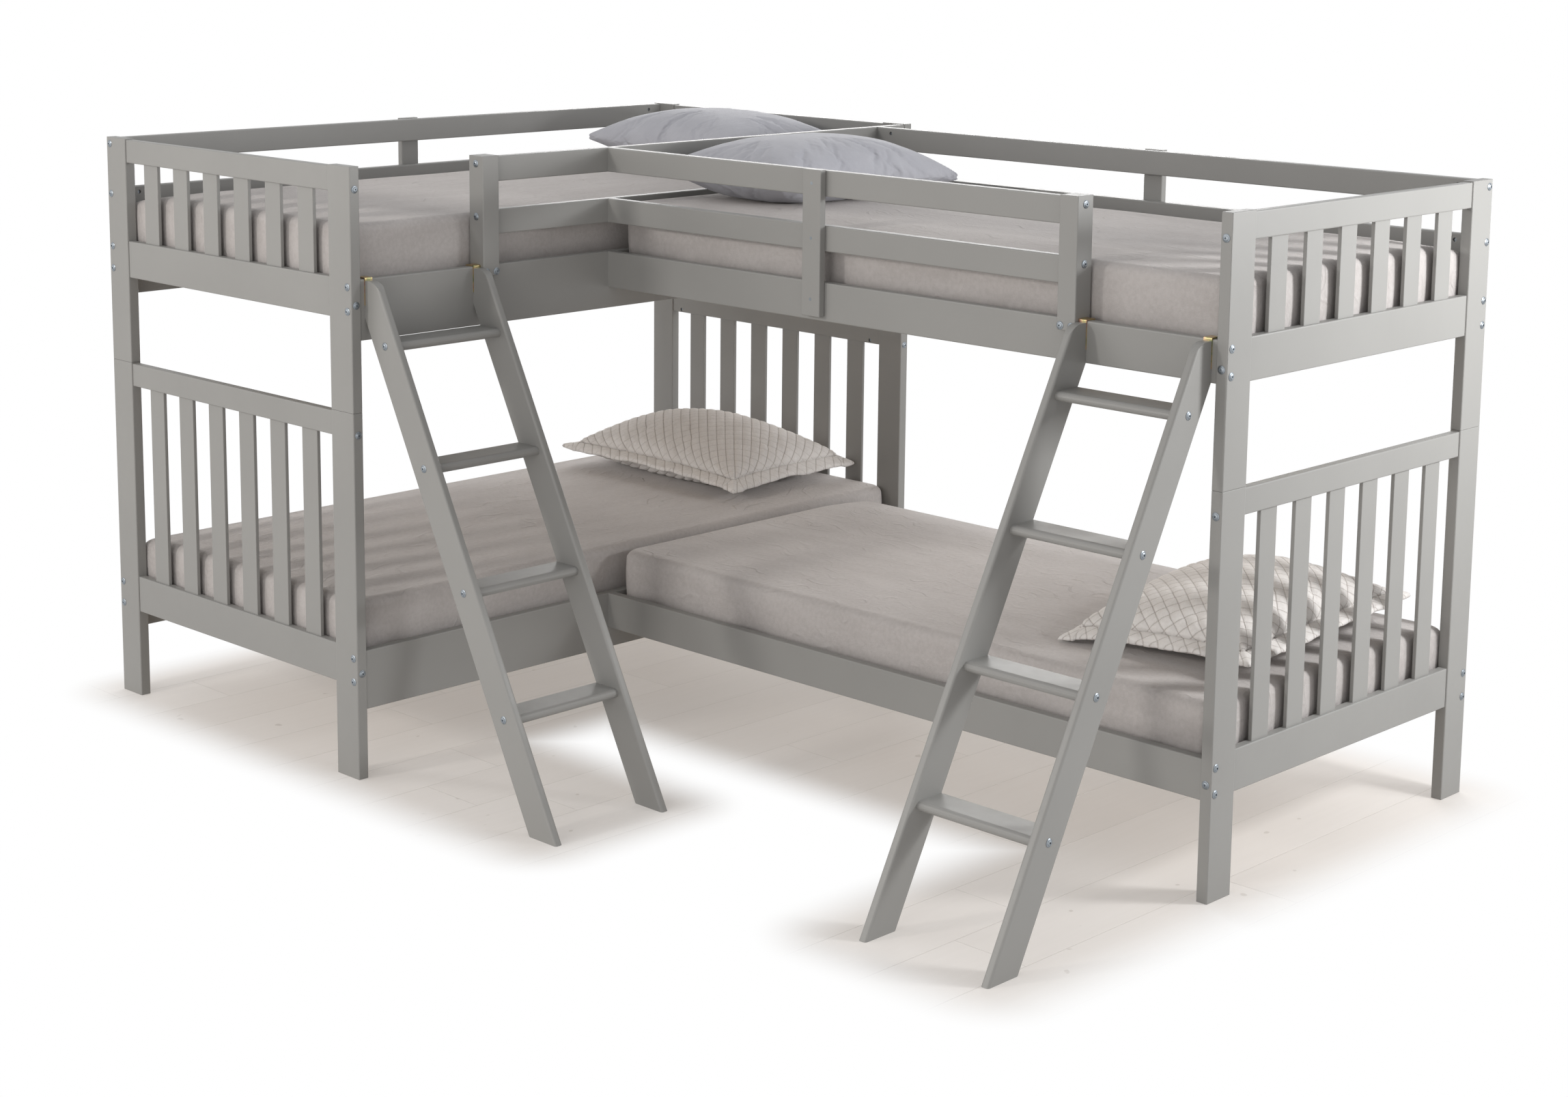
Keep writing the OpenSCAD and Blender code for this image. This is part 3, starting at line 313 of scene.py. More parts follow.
# the seam colour is painted shade for the grooves at the stitched seams
shamLook = {"colour": (0.78, 0.755, 0.735), "shade": (0.70, 0.67, 0.648), "seam": (0.40, 0.355, 0.325),
            "pitch": 0.028, "stitch": 0.0045,
            "seamWidth": (0.0004, 0.0021),  # a seam is dark with painted shade to the first distance and gone at the second
            "clump": 0.0012, "pile": 0.0008,
            "shader": {"Roughness": 0.95, "Sheen_Weight": 0.4, "Sheen_Roughness": 0.5,
                       "Sheen_Tint": (0.95, 0.9, 0.86)},
            "noise": {"pile": (700, 3, 0.7), "clump": (130, 3, 0.6), "drift": (14, 3)}}


def quiltedPlush(s, name, cross):
    # Quilted plush on the cloth's UV map: short pile, one set of diagonal seams as drawn-in lines, and the other as
    # dots that cross, from 0 to 1, fills in to lines; both sets are darkened with painted shade for their grooves,
    # the second more as light falls across them
    f = Finish(name)
    u, v, w = f.where("UV")
    at = f.point(u, v, w)
    pile, clump, drift = (f.noise(at, *s["noise"][part]) for part in ("pile", "clump", "drift"))
    diagonal = math.sqrt(2)
    seams = []
    for d, e in ((u + v, u - v), (u - v, u + v)):
        line = (d / (s["pitch"] * diagonal) + 100).math("FRACT")
        gap = line.least(1 - line) * s["pitch"]  # distance to the nearest seam of this set
        dash = ((e / (s["stitch"] * diagonal) + 100).math("FRACT") - 0.5).abs().step(0.14, 0.2)
        seams.append((1 - gap.step(*s["seamWidth"]), dash))
    (drawn, stitch), (faint, dots) = seams
    colour = f.blendColour((clump * 0.5 + drift * 0.5).step(0.35, 0.7), s["shade"], s["colour"])
    # painted shade in the seam grooves, darker at the stitches; the second set takes more of it as cross rises
    colour = f.blendColour(drawn * (0.45 - cross * 0.1 + stitch * 0.25), colour, s["seam"])
    colour = f.blendColour(faint * (0.06 + cross * 0.26 + dots * 0.3), colour, s["seam"])
    furrows = pile - drawn * 1.2 - faint * (0.5 + cross * 0.6)
    normal = f.bump(clump, s["clump"], 0.7, f.bump(furrows, s["pile"]))
    return f.surface(Base_Color=colour, Normal=normal, **s["shader"])


paint = paintedWood(paintLook)
boardsAlongX = bareBoards(boardLook, "bareBoardsX", 0)
boardsAlongY = bareBoards(boardLook, "bareBoardsY", 1)
zinc = zincSteel(zincLook)
goldZinc = yellowZinc(goldLook)
fleeceAlongX = fleeceSheet(sheetLook, "fleeceSheetX", 0)
fleeceAlongY = fleeceSheet(sheetLook, "fleeceSheetY", 1)
cotton = cottonCase(cottonLook)
# the last number is cross, how much painted shade the second set of seams takes
plushA = quiltedPlush(shamLook, "quiltedPlushA", 0.0)
plushB = quiltedPlush(shamLook, "quiltedPlushB", 1.0)

for name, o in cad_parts.items():
    finish = paint
    if name.startswith("deck_a"):
        finish = boardsAlongX
    elif name.startswith("deck_b") or name == "cleats":
        finish = boardsAlongY
    elif name.endswith("hooks"):
        finish = goldZinc
    elif name.endswith("bolts") or name in ("barrel_nuts", "post_pins", "tie_screws"):
        finish = zinc
    elif name.startswith("mattress"):
        finish = fleeceAlongY if "_a_" in name else fleeceAlongX
    elif name.startswith("pillow"):
        finish = cotton
    elif name.startswith("sham"):
        finish = plushA if name == "sham_a" else plushB
    if not o.material_slots:
        o.data.materials.append(finish)
    for slot in o.material_slots:
        slot.material = finish
print("finishes laid on the frame")


def quads(index):
    # Quads of a grid of vertex numbers, wound so that rows x columns face up
    return np.stack([index[:-1, :-1], index[1:, :-1], index[1:, 1:], index[:-1, 1:]], -1).reshape(-1, 4)


def buildMesh(name, points, faces, finish, uv=None):
    # An object at the origin from arrays of points and quads; uv gives a cloth position to each vertex
    mesh = bpy.data.meshes.new(name)
    mesh.from_pydata(points.tolist(), [], faces.tolist())
    mesh.materials.append(finish)
    mesh.polygons.foreach_set("use_smooth", np.ones(len(mesh.polygons), bool))
    if uv is not None:
        corner = np.zeros(len(mesh.loops), np.int32)
        mesh.loops.foreach_get("vertex_index", corner)
        mesh.uv_layers.new(name="cloth").data.foreach_set("uv", uv[corner].ravel().astype(np.float32))
    mesh.update()
    o = bpy.data.objects.new(name, mesh)
    scene.collection.objects.link(o)
    return o


def wander(x, y, seed, waves, low, high):
    # A smooth random height near 0: sine waves of seeded angles and phases, and radians per metre from low to
    # high, added up and divided by the root of twice their number
    rng = np.random.default_rng(seed)
    total = np.zeros_like(x)
    for k in rng.uniform(low, high, waves):
        a, phase = rng.uniform(0, np.pi), rng.uniform(0, 2 * np.pi)
        total += np.sin((x * np.cos(a) + y * np.sin(a)) * k + phase)
    return total / math.sqrt(waves * 2)


def smoothUp(t):
    # 0 up to t = 0, 1 from t = 1, and 3 t squared less 2 t cubed between
    t = np.clip(t, 0, 1)
    return t * t * (3 - 2 * t)


mattressSet = {
    "edge": 0.024,  # radius where the side turns over to the top
    "corner": 0.04,  # radius of the corners in plan
    "cornerLeast": 0.012,
    "foot": 0.014,  # radius at the bottom
    "under": 0.03,  # where the underside's flat begins
    "waist": 0.002,  # how far the side stands back of the box
    "crown": 0.006,  # rise of the middle
    "crownRun": 0.14,  # distance over which it rises
    "lid": (0.012, 0.026, 0.045, 0.066),  # rings of the top, inward of the edge
    "sway": 0.0012,  # height of the top's waves
    "topWaves": (8, 4, 16),  # how many, and their least and greatest radians per metre
    "fall": {"low": 0.018, "up": 0.034},  # drop of the wall side
    "roll": 0.23,  # distance over which it drops
    "gather": 0.0018,  # depth of the puckers at the corners
    "gatherReach": 0.13,
    "puckers": 260,  # radians per metre
    "slack": 0.0012,  # looseness of the sides
    "sideWaves": (6, 8, 30),
    "cells": (50, 92),
    "arc": 6,
    "grow": {"a": (0.0255, 0.0255), "b": (0.0, 0.018)},  # reach of the two ends beyond the mattress
    "growShare": 0.3,
}


def ringCourse(cells, arc):
    # One turn round a rounded rectangle, as each point's corner centre (-1 to 1 both ways) and its angle
    cx, cy, angle = [], [], []
    runs = ((0, -1), (1, 0), (0, 1), (-1, 0))
    for side, (n, run) in enumerate(zip((*cells, *cells), runs)):
        across = np.concatenate([-np.ones(arc), np.linspace(-1, 1, n + 1), np.ones(arc)])[:-1]
        start = math.pi * (1.25 + side / 2)
        a = np.concatenate([np.linspace(start, start + math.pi / 4, arc + 1)[:-1],
                            np.full(n + 1, start + math.pi / 4),
                            np.linspace(start + math.pi / 4, start + math.pi / 2, arc + 1)[1:]])[:-1]
        way = 1 if side < 2 else -1
        cx.append(across * way if run[0] == 0 else np.full(len(across), float(run[0])))
        cy.append(across * way if run[1] == 0 else np.full(len(across), float(run[1])))
        angle.append(a)
    return np.concatenate(cx), np.concatenate(cy), np.concatenate(angle)


def filledRing(ring, n, m):
    # A grid inside a closed ring of 2(n + m) points: opposite sides blended, less the four corners' blend
    c0, d1 = ring[:n + 1], ring[n:n + m + 1]
    c1, d0 = ring[n + m:2 * n + m + 1][::-1], np.concatenate([ring[2 * n + m:], ring[:1]])[::-1]
    share = []
    for c in (c0, d0):
        length = np.concatenate([[0], np.cumsum(np.linalg.norm(np.diff(c, axis=0), axis=1))])
        share.append(length / length[-1])
    u, v = share[0][:, None, None], share[1][None, :, None]
    ruled = (1 - v) * c0[:, None] + v * c1[:, None] + (1 - u) * d0[None] + u * d1[None]
    return ruled - ((1 - u) * (1 - v) * c0[0] + u * (1 - v) * c0[-1] + (1 - u) * v * c1[0] + u * v * c1[-1])


def mattressShape(size, fall, s, seed):
    # The outline moved in by d, ring by ring: round the foot, up the side and over the edge, then a filled lid.
    # Towards -x the top drops by fall times (1 - distance / roll) to the power 1.6
    w, l, h = size
    hw, hl = w / 2, l / 2
    e, b, waist, top = s["edge"], s["foot"], s["waist"], h - s["crown"]

    def crown(inset):
        return top + s["crown"] * smoothUp((inset - e) / s["crownRun"])

    turn, climb = np.linspace(0, np.pi / 2, 9), np.linspace(0.1, 0.9, 9)
    lid = e + np.array(s["lid"])
    inward = (s["under"], b * (1 - np.sin(turn)) + waist, waist * (1 - np.sin(np.pi * climb)),
              e * (1 - np.cos(turn)) + waist, lid)
    upward = (0.0, b * (1 - np.cos(turn)), b + (top - e - b) * climb, top - e + e * np.sin(turn), crown(lid))
    d, z = (np.hstack(part)[:, None] for part in (inward, upward))
    cx, cy, angle = ringCourse(s["cells"], s["arc"])
    r = np.maximum(s["corner"] - d * 0.45, s["cornerLeast"])
    x = cx * (hw - d - r) + r * np.cos(angle)
    y = cy * (hl - d - r) + r * np.sin(angle)
    n, m = s["cells"][0] + 2 * s["arc"], s["cells"][1] + 2 * s["arc"]
    rings = np.stack([x, y, np.broadcast_to(z, x.shape)], -1)
    index = np.arange(rings.shape[0] * rings.shape[1]).reshape(rings.shape[:2])
    points, faces = [rings.reshape(-1, 3)], [quads(np.concatenate([index, index[:, :1]], 1))[:, ::-1]]
    count = index.size
    for row, up in ((0, False), (-1, True)):
        grid = filledRing(rings[row], n, m)
        if up:
            grid[..., 2] = crown(np.minimum(hw - np.abs(grid[..., 0]), hl - np.abs(grid[..., 1])))
        number = np.zeros((n + 1, m + 1), int)
        rim = index[row]
        number[:, 0], number[-1] = rim[:n + 1], rim[n:n + m + 1]
        number[:, -1] = rim[n + m:2 * n + m + 1][::-1]
        number[0] = np.concatenate([rim[2 * n + m:], rim[:1]])[::-1]
        number[1:-1, 1:-1] = count + np.arange((n - 1) * (m - 1)).reshape(n - 1, m - 1)
        count += (n - 1) * (m - 1)
        points.append(grid[1:-1, 1:-1].reshape(-1, 3))
        faces.append(quads(number) if up else quads(number)[:, ::-1])
    p = np.concatenate(points)
    x, y, z = p.T
    z = z - fall * np.maximum(1 - (x + hw) / s["roll"], 0) ** 1.6 * (z / h) ** 2
    inset = np.minimum(hw - np.abs(x), hl - np.abs(y))
    onTop = smoothUp((z - h * 0.7) / (h * 0.1)) * smoothUp((inset - 0.01) / 0.12)
    z = z + onTop * wander(x, y, seed, *s["topWaves"]) * s["sway"]
    # the elastic draws the lower side into small puckers round each corner
    cornerNear = np.exp(-(np.hypot(np.abs(x) - hw, np.abs(y) - hl) / s["gatherReach"]) ** 2)
    low = smoothUp(1 - (z - 0.02) / (h * 0.6)) * smoothUp(z / 0.02)
    away = np.hypot(x, y) + 1e-9
    pull = s["gather"] * cornerNear * low * (np.sin((x - y * np.sign(x * y)) * s["puckers"]) - 1)
    slack = s["slack"] * low * (wander(x + y, z, seed + 3, *s["sideWaves"]) - 1)
    return np.stack([x + x / away * (pull + slack), y + y / away * (pull + slack), z], -1), np.concatenate(faces)


def makeMattress(node, body, seed, s):
    # The shape for the node's own box; each end then moves out by its reach times a smooth rise over the last share
    lo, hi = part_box(node)
    size = np.array(hi - lo)
    along = size[1] > size[0]
    fall = s["fall"]["up" if node.endswith("up") else "low"]
    points, faces = mattressShape((*sorted(size[:2]), size[2]), fall, s, seed)
    for end, grow in zip((-1, 1), s["grow"]["a" if along else "b"]):
        share = end * points[:, 1] / (size.max() / 2)
        points[:, 1] += end * grow * smoothUp((share - (1 - s["growShare"])) / s["growShare"])
    if not along:  # a quarter turn clockwise, which keeps the fall at the wall
        points = np.stack([points[:, 1], -points[:, 0], points[:, 2]], -1)
    o = buildMesh(node + "_sheet", points + [(lo[0] + hi[0]) / 2, (lo[1] + hi[1]) / 2, lo[2]], faces,
                  fleeceAlongY if along else fleeceAlongX)
    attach(o, body)
    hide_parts(node)


for node, seed in (("mattress_a_low", 11), ("mattress_b_low", 18), ("mattress_a_up", 25), ("mattress_b_up", 32)):
    makeMattress(node, node + "_body", seed, mattressSet)
print("mattresses made")


def bagGrid(nu, nv):
    # Vertex numbers of a bag's top and underside, which share their rim
    top = np.arange((nu + 1) * (nv + 1)).reshape(nu + 1, nv + 1)
    under = top.copy()
    under[1:-1, 1:-1] = top.size + np.arange((nu - 1) * (nv - 1)).reshape(nu - 1, nv - 1)
    return top, under


def fullness(u, v, edge, power):
    # How full a stuffed piece is: (1 - u to the edge)(1 - v to the edge), to a power, so 0 at its seam
    return np.maximum((1 - np.abs(u) ** edge) * (1 - np.abs(v) ** edge), 0) ** power


clothSet = {"mass": 0.15, "damping": 8, "air": 2.0, "plump": (2.4, 0.55), "waves": (9, 20, 70)}


def inflate(cloth, s):
    # Blows the flat bag up as cloth, then returns its points
    mod = cloth.modifiers.new("cloth", "CLOTH")
    c = mod.settings
    c.quality = s["quality"]
    c.mass = clothSet["mass"]
    c.tension_stiffness, c.compression_stiffness, c.shear_stiffness = s["stretch"], s["stretch"], s["shear"]
    c.bending_stiffness = s["bend"]
    c.tension_damping = c.compression_damping = clothSet["damping"]
    c.air_damping = clothSet["air"]
    c.use_pressure = True
    c.uniform_pressure_force = s["pressure"]
    c.effector_weights.gravity = 0
    mod.collision_settings.use_collision = False
    mod.point_cache.frame_start, mod.point_cache.frame_end = 1, s["frames"]
    for f in range(1, s["frames"] + 1):
        scene.frame_set(f)
    done = cloth.evaluated_get(bpy.context.evaluated_depsgraph_get())
    co = np.zeros(len(cloth.data.vertices) * 3, np.float32)
    done.data.vertices.foreach_get("co", co)
    cloth.modifiers.remove(mod)
    scene.frame_set(1)
    return co.reshape(-1, 3).astype(float)


def domeProfile(half, high, s):
    # One side of the dome, from middle to seam: share of the cloth used, share of the way, and the cloth's length
    way = np.sin(np.linspace(0, math.pi / 2, 2000))  # 2000 samples, closer together near the seam
    rise = (1 - s["seam"]) * high * (1 - way ** s["edge"]) ** s["power"]
    cloth = np.concatenate([[0], np.cumsum(np.hypot(np.diff(way) * half, np.diff(rise)))])
    return cloth / cloth[-1], way, cloth[-1]


def alongEdge(grid, axis, times):
    # The grid smoothed along one axis only: each pass is a quarter, a half and a quarter of neighbours
    g = np.moveaxis(grid, axis, 0).copy()
    for _ in range(times):
        g[1:-1] = g[1:-1] / 2 + (g[:-2] + g[2:]) / 4
    return np.moveaxis(g, 0, axis)


def blownCreases(size, s, seed):
    # Creases of a flat bag blown up as cloth: what is left of its movement after smoothing along the nearest seam
    length, width = (2 * domeProfile(side / 2, size[2], s)[2] for side in size[:2])
    nu, nv = int(round(length / s["cell"])), int(round(width / s["cell"]))
    u, v = np.meshgrid(np.linspace(-1, 1, nu + 1), np.linspace(-1, 1, nv + 1), indexing="ij")
    top, under = bagGrid(nu, nv)
    rest = np.stack([u * length / 2, v * width / 2, np.zeros_like(u)], -1)
    f = fullness(u, v, *clothSet["plump"])
    rise = np.zeros_like(rest)
    waves = wander(rest[..., 0], rest[..., 1], seed, *clothSet["waves"])
    rise[..., 2] = f * s["start"] + waves * s["startWave"] * f
    points = np.concatenate([(rest + rise).reshape(-1, 3), (rest - rise)[1:-1, 1:-1].reshape(-1, 3)])
    faces = np.concatenate([quads(top), quads(under)[:, ::-1]])
    cloth = buildMesh("bag", points, faces, cotton)
    blown = inflate(cloth, s)
    bpy.data.objects.remove(cloth)
    nearer = (1 - np.abs(v)) * width - (1 - np.abs(u)) * length  # above 0 where the ends are the nearest seam
    sideways = smoothUp(nearer / s["turnover"] + 0.5)[..., None]
    creases = []
    for index in (top, under):
        moved = blown[index] - rest
        overU, overV = (moved - alongEdge(moved, axis, s["smooth"]) for axis in (0, 1))
        creases.append(overU * (1 - sideways) + overV * sideways)
    return u, v, rest[..., :2], creases[0], creases[1]


def cornerLift(u, v, corners):
    # Sum of the corners' own lifts, each fading as the third power of the way from its corner
    order = ((-1, -1), (1, -1), (1, 1), (-1, 1))
    return sum(h * ((1 + a * u) / 2 * (1 + b * v) / 2) ** 3 for h, (a, b) in zip(corners, order))


def stuffedForm(u, v, size, s, corners):
    # Top and underside of a stuffed bag: sides drawn in by drawn times (1 - way squared), a top that rises from the
    # seam by its fullness, and an underside that rounds down to lie flat
    length, width, high = size
    spread = [domeProfile(side / 2, high, s)[:2] for side in (length, width)]
    u, v = (np.sign(t) * np.interp(np.abs(t), *share) for t, share in zip((u, v), spread))
    f = fullness(u, v, s["edge"], s["power"])
    x = u * (length / 2 - s["drawn"] * (1 - v * v))
    y = v * (width / 2 - s["drawn"] * (1 - u * u))
    seam = s["seam"] * high + cornerLift(u, v, corners)
    top = seam + (high - s["seam"] * high) * f
    under = seam - s["seam"] * high * s["belly"] * fullness(u, v, s["edge"], s["round"])
    return np.stack([x, y, top], -1), np.stack([x, y, under], -1)


def finer(grid):
    # Twice as many cells each way: a new point is 9/16 of its two neighbours less 1/16 of the next two
    for axis in (0, 1):
        g = np.moveaxis(grid, axis, 0)
        n = len(g)
        mid = (g[:-1] + g[1:]) / 2
        if n > 3:
            mid[1:-1] = (9 * (g[1:-2] + g[2:-1]) - (g[:-3] + g[3:])) / 16
        out = np.empty((2 * n - 1,) + g.shape[1:])
        out[::2], out[1::2] = g, mid
        grid = np.moveaxis(out, 0, axis)
    return grid


def normalsOf(grid):
    # Unit normals of a grid surface, from its central differences
    du, dv = np.gradient(grid, axis=0), np.gradient(grid, axis=1)
    n = np.cross(du, dv)
    return n / (np.linalg.norm(n, axis=-1, keepdims=True) + 1e-12)


restSet = {"gap": 0.0006, "soft": 0.004}


def rested(z, s):
    # A height kept over the mattress: gap + soft times log(1 + exp((z - gap) / soft)), so the underside lies flat
    return s["gap"] + np.log1p(np.exp(np.minimum((z - s["gap"]) / s["soft"], 60))) * s["soft"]


def sewBag(name, node, up, down, cloth, apart, turn, finish):
    # One closed mesh from two grids that share their rim, turned about the node's middle and set on its floor;
    # the underside's cloth lies apart from the top's on the UV map
    lo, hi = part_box(node)
    top, under = bagGrid(up.shape[0] - 1, up.shape[1] - 1)
    points = np.concatenate([up.reshape(-1, 3), down[1:-1, 1:-1].reshape(-1, 3)])
    t = math.radians(turn)
    rotation = np.array([[math.cos(t), -math.sin(t)], [math.sin(t), math.cos(t)]])
    points[:, :2] = points[:, :2] @ rotation.T + [(lo[0] + hi[0]) / 2, (lo[1] + hi[1]) / 2]
    points[:, 2] += lo[2]
    uv = np.concatenate([cloth.reshape(-1, 2), cloth[1:-1, 1:-1].reshape(-1, 2) + apart])
    return buildMesh(name, points, np.concatenate([quads(top), quads(under)[:, ::-1]]), finish, uv)


pillowSet = {"size": (0.645, 0.46), "cell": 0.0078, "frames": 26, "quality": 5, "stretch": 18,
             "shear": 6, "bend": 0.08, "pressure": 5.5, "start": 0.022, "startWave": 0.0012,
             "smooth": 26, "turnover": 0.12, "keep": 0.8,
             "edge": 2.6, "power": 0.5, "round": 0.6, "belly": 1.35, "seam": 0.36, "drawn": 0.012, "apart": 0.7}


def makePillow(node, body, turn, seed, corners, s):
    # The stuffed form as high as the node's box, plus a share of the blown creases
    lo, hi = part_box(node)
    size = (*s["size"], hi[2] - lo[2])
    u, v, cut, creaseUp, creaseDown = blownCreases(size, s, seed)
    upper, lower = stuffedForm(u, v, size, s, corners)
    upper, lower = upper + creaseUp * s["keep"], lower + creaseDown * s["keep"]
    lower[..., 2] = rested(lower[..., 2], restSet)
    cut, upper, lower = (finer(g) for g in (cut, upper, lower))
    lower[0], lower[-1], lower[:, 0], lower[:, -1] = upper[0], upper[-1], upper[:, 0], upper[:, -1]
    o = sewBag(node + "_case", node, upper, lower, cut, [0, s["apart"]], turn, cotton)
    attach(o, body)
    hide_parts(node)


# turn in degrees, seed, and how far each corner stands over the seam, anticlockwise from (-1, -1)
makePillow("pillow_a", "pillow_a_body", -3, 5, (0.012, 0.008, 0.010, 0.012), pillowSet)
makePillow("pillow_b", "pillow_b_body", 87, 23, (0.006, -0.010, 0.008, 0.018), pillowSet)
print("pillows made")


shamSet = {"size": (0.745, 0.52), "cell": 0.0075, "frames": 22, "quality": 5, "stretch": 20,
           "shear": 8, "bend": 0.6, "pressure": 5.0, "start": 0.03, "startWave": 0.0012,
           "smooth": 26, "turnover": 0.12, "keep": 0.4,
           "edge": 1.6, "power": 0.42, "round": 0.28, "belly": 1.2, "seam": 0.36, "drawn": 0.014,
           "flange": 0.044, "flangeRows": 14, "ruffle": 0.004, "ruffleWaves": (8, 18, 70),
           "cloth": 0.0026, "rim": 0.0052,  # half thickness of the quilt, and of its flange
           "groove": 0.004,  # width of the groove at the stitches; wadding and quilting lose these shares in it
           "wadThins": 0.6, "quiltThins": 0.8,
           "flangeFlat": 0.55,  # share of the quilting's height that the flange lacks
           "pitch": shamLook["pitch"], "puff": 0.0034}


def quiltRise(rest, s):
    # Height of the quilting at a cloth point, from 0 to 1: steep arches, the size of a sine to the power 0.42,
    # between one set of diagonal seams, half cut by the arches of the other set
    x, y = rest[..., 0], rest[..., 1]
    first, second = (np.abs(np.sin(np.pi * (d / (s["pitch"] * math.sqrt(2))))) ** 0.42 for d in (x + y, x - y))
    return first * (0.5 + 0.5 * second)


def makeSham(node, body, turn, seed, corners, droops, flip, s):
    # A stuffed bag with creases, carried outwards as a flange, then thickened along its normals by wadding and
    # quilting that both thin to a groove at the stitches
    lo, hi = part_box(node)
    flange, nf = s["flange"], s["flangeRows"]
    inner = (s["size"][0] - 2 * flange, s["size"][1] - 2 * flange, hi[2] - lo[2] - s["cloth"] - s["puff"])
    u, v, cut, creaseUp, creaseDown = blownCreases(inner, s, seed)
    upper, lower = stuffedForm(u, v, inner, s, (0, 0, 0, 0))
    upper, lower = upper + creaseUp * s["keep"], lower + creaseDown * s["keep"]
    inset = np.minimum(cut[-1, 0, 0] - np.abs(cut[..., 0]), cut[0, -1, 1] - np.abs(cut[..., 1]))
    cut, upper, lower, inset = (finer(g) for g in (cut, upper, lower, inset))
    lower[0], lower[-1], lower[:, 0], lower[:, -1] = upper[0], upper[-1], upper[:, 0], upper[:, -1]
    # the flange carries the bag's own grid outwards, so that its rim stays parallel to the drawn-in seam
    step = flange / nf
    i = np.clip(np.arange(-nf, upper.shape[0] + nf), 0, upper.shape[0] - 1)
    j = np.clip(np.arange(-nf, upper.shape[1] + nf), 0, upper.shape[1] - 1)
    offI = np.arange(-nf, upper.shape[0] + nf) - i
    offJ = np.arange(-nf, upper.shape[1] + nf) - j
    out = np.stack(np.broadcast_arrays(offI[:, None] * step, offJ[None, :] * step), -1)
    reach = np.maximum(np.abs(out[..., 0]), np.abs(out[..., 1])) / flange  # 0 at the seam, 1 at the rim
    cutAll = cut[i][:, j] + out
    un, vn = cutAll[..., 0] / np.abs(cutAll[..., 0]).max(), cutAll[..., 1] / np.abs(cutAll[..., 1]).max()
    ruffle = wander(cutAll[..., 0], cutAll[..., 1], seed + 2, *s["ruffleWaves"]) * s["ruffle"]
    # each side's droop counts as far as the point lies towards that side
    sides = np.stack([-vn, un, vn, -un], -1).clip(0, 1) ** 4
    droop = (sides * droops).sum(-1) / (sides.sum(-1) + 1e-9)
    hang = reach * (ruffle - droop) + cornerLift(un, vn, corners)
    seamDip = np.exp(-(np.maximum(reach * flange, inset[i][:, j]) / s["groove"]) ** 2)
    onFlange = smoothUp(reach * 5)
    wad = s["cloth"] + (s["rim"] - s["cloth"]) * onFlange
    thick = wad * (1 - s["wadThins"] * seamDip) * smoothUp((1 - reach) * 6 + 0.3)
    quilting = quiltRise(cutAll * (1, flip), s) * s["puff"] * (1 - s["flangeFlat"] * onFlange)
    rise = quilting * (1 - s["quiltThins"] * seamDip)
    level = smoothUp(reach * 4)[..., None]
    grids = []
    for g, side in ((upper, 1), (lower, -1)):
        p = g[i][:, j].copy()
        p[..., :2] += out
        p[..., 2] += hang
        n = normalsOf(g)[i][:, j] * (1 - level) + np.array([0, 0, 1.0]) * level
        p = p + n * side * (thick + rise)[..., None]
        p[..., 2] = rested(p[..., 2], restSet)
        grids.append(p)
    up, down = grids
    up[0], up[-1], up[:, 0], up[:, -1] = ((up[0] + down[0]) / 2, (up[-1] + down[-1]) / 2,
                                         (up[:, 0] + down[:, 0]) / 2, (up[:, -1] + down[:, -1]) / 2)
    o = sewBag(node + "_quilt", node, up, down, cutAll * (1, flip), [0, 0], turn,
               plushA if node == "sham_a" else plushB)
    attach(o, body)
    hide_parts(node)


# turn in degrees; seed; lift of each corner, anticlockwise from (-1, -1); fall of the flange on sides -y, +x, +y
# and -x; and flip, where -1 mirrors the quilting, so that the drawn-in seams run the same way on both beds
makeSham("sham_a", "sham_a_body", 0.5, 31, (0.002, -0.016, -0.002, 0.0), (0.013, 0.024, 0.014, 0.012), 1, shamSet)
makeSham("sham_b", "sham_b_body", 93, 47, (0.0, 0.02, 0.006, -0.042), (0.018, 0.016, 0.016, 0.016), -1, shamSet)
print("shams made")


floorSet = {
    "size": 30.0,
    "plank": 0.1933,  # width of a plank
    "seam": -0.089,  # where one seam lies
    "length": 1.9,
    "pale": (0.86, 0.82, 0.785),
    "dark": (0.78, 0.735, 0.695),
    "knot": (0.42, 0.37, 0.32),
    "joint": (0.36, 0.32, 0.28),
    "near": 0.0,  # distances from the bed over which the planks fade to white
    "far": 0.22,
    "albedo": 0.57,
    "glow": 0.355,  # light of its own that the camera sees
    "throw": 0.62,  # share of that light that reaches the bed
    "noise": {"grain": (3, 4, 0.6), "knot": (9, 1)},
    # the rectangles that the bed and its ladders cover: middle x, middle y, half width, half depth
    "plan": ((-0.97, 0.0, 0.50, 0.98), (0.5, 0.355, 1.0, 0.50), (-0.15, -0.79, 0.36, 0.19), (1.28, -0.5, 0.19, 0.36)),
}


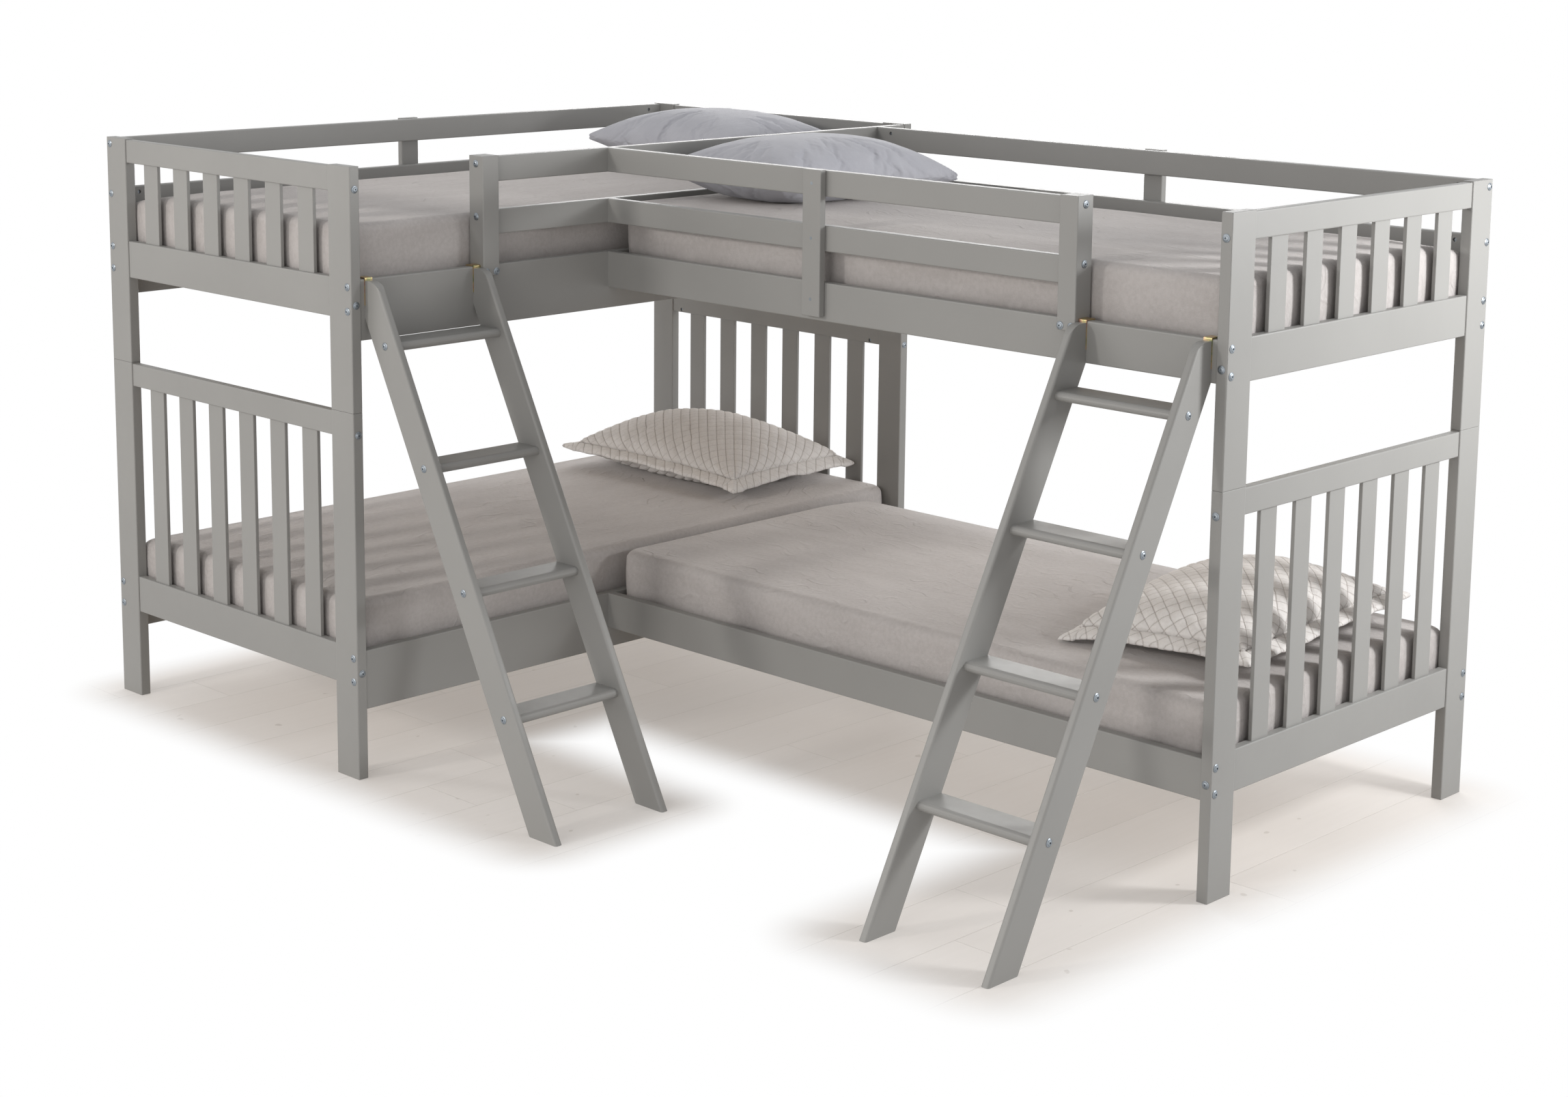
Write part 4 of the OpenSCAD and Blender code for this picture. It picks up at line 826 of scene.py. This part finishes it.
def plankFloor(s):
    # Whitewashed planks, softly lit from within as a studio floor is, that fade to plain white away from the bed:
    # the fractions of x and y over a plank's sides give the seams, and their whole parts each board's tone
    f = Finish("plankFloor")
    x, y, z = f.where()
    lane = (x - s["seam"]) / s["plank"] + 100
    row, course = lane.math("FRACT"), lane.math("FLOOR")
    along = y / s["length"] + (course * 12.9898).sin() * 43.7 + 90
    end = along.math("FRACT")
    seam = 1 - row.least(1 - row).step(0.001, 0.009)
    butt = 1 - end.least(1 - end).step(0.0001, 0.0009)
    joint = seam.most(butt)
    board = course * 7.31 + along.math("FLOOR") * 3.77
    grain = f.noise(f.point(x * 22, y * 1.3, board), *s["noise"]["grain"])
    tone = (board.sin() * 43.7).math("FRACT")
    knot = f.noise(f.point(x * 3, y * 2.2, board), *s["noise"]["knot"]).step(0.76, 0.8)
    colour = f.blendColour(grain * 0.45 + tone * 0.4, s["dark"], s["pale"])
    colour = f.blendColour(knot * 0.35, colour, s["knot"])
    colour = f.blendColour(joint * 0.3, colour, s["joint"])
    spread = None
    for cx, cy, hx, hy in s["plan"]:
        dx, dy = ((x - cx).abs() - hx).most(0.0), ((y - cy).abs() - hy).most(0.0)
        d = (dx * dx + dy * dy) ** 0.5
        spread = d if spread is None else spread.least(d)
    away = spread.step(s["near"], s["far"])
    seen, shown = f.rays()
    matt = f.blendColour(1 - s["albedo"], colour, (0.0, 0.0, 0.0))
    shine = f.blendColour((1 - seen) * (1 - s["throw"]), colour, (0.0, 0.0, 0.0))
    boards = f.make("ShaderNodeBsdfPrincipled", Base_Color=matt, Roughness=0.6, Emission_Color=shine,
                    Emission_Strength=s["glow"], Normal=f.bump(grain - joint * 2, 0.0004))
    white = f.make("ShaderNodeEmission", Color=(1, 1, 1), Strength=1.0)
    mixed = f.make("ShaderNodeMixShader", _0=away * shown, _1=boards.outputs[0], _2=white.outputs[0])
    f.make("ShaderNodeOutputMaterial", Surface=mixed.outputs[0])
    return f.data


def makeFloor(s):
    # One flat square, centred under the bed
    h = s["size"] / 2
    floor = buildMesh("plankFloor", np.array([[-h, -h, 0], [h, -h, 0], [h, h, 0], [-h, h, 0]], float),
                      np.array([[0, 1, 2, 3]]), plankFloor(s))


worldSet = {"light": (0.985 * 0.57, 0.99 * 0.57, 0.57), "seen": (1.0, 1.0, 1.0)}


def makeWorld(s):
    # White to the camera and in reflections, and a soft grey light on everything else
    f = Finish("studio", "worlds")
    shown = f.rays()[1]
    light, seen = (f.make("ShaderNodeBackground", Color=s[part]).outputs[0] for part in ("light", "seen"))
    mixed = f.make("ShaderNodeMixShader", _0=shown, _1=light, _2=seen)
    f.make("ShaderNodeOutputWorld", Surface=mixed.outputs[0])
    scene.world = f.data


cool, warm = (0.985, 0.995, 1.0), (1.0, 0.97, 0.93)
# a near and a far box to the right, two to the left, one beside the camera and a broad one behind the bed
lampSet = {
    "key": {"at": (2.9, 1.05, 1.7), "to": (0.9, 0.2, 0.8), "size": 0.36, "power": 34, "tint": cool},
    "right": {"at": (5.0, 2.6, 2.6), "to": (0.6, 0.2, 0.8), "size": 1.1, "power": 54, "tint": cool},
    "left": {"at": (-1.45, -5.5, 2.9), "to": (-0.4, 0.0, 0.75), "size": 0.6, "power": 77, "tint": warm},
    "side": {"at": (-3.4, -4.0, 2.0), "to": (-0.5, -0.4, 0.6), "size": 2.0, "power": 24, "tint": warm},
    "front": {"at": (1.8, -5.2, 1.3), "to": (0.0, 0.4, 0.8), "size": 2.2, "power": 48, "tint": (1.0, 0.975, 0.94)},
    "back": {"at": (-2.6, 3.4, 1.5), "to": (0.2, -0.2, 0.5), "size": 3.0, "power": 124, "tint": (1.0, 0.99, 0.98)},
}


def makeLamps(lamps):
    # Square area lamps, each turned from its place towards its target
    for name, s in lamps.items():
        data = bpy.data.lights.new(name, "AREA")
        data.shape, data.size = "SQUARE", s["size"]
        data.energy, data.color = s["power"], s["tint"]
        lamp = bpy.data.objects.new(name, data)
        scene.collection.objects.link(lamp)
        lamp.location = s["at"]
        lamp.rotation_euler = (Vector(s["to"]) - Vector(s["at"])).to_track_quat("-Z", "Y").to_euler()
        lamp.visible_camera = False


makeFloor(floorSet)
makeWorld(worldSet)
makeLamps(lampSet)
print("floor, world and lamps set")
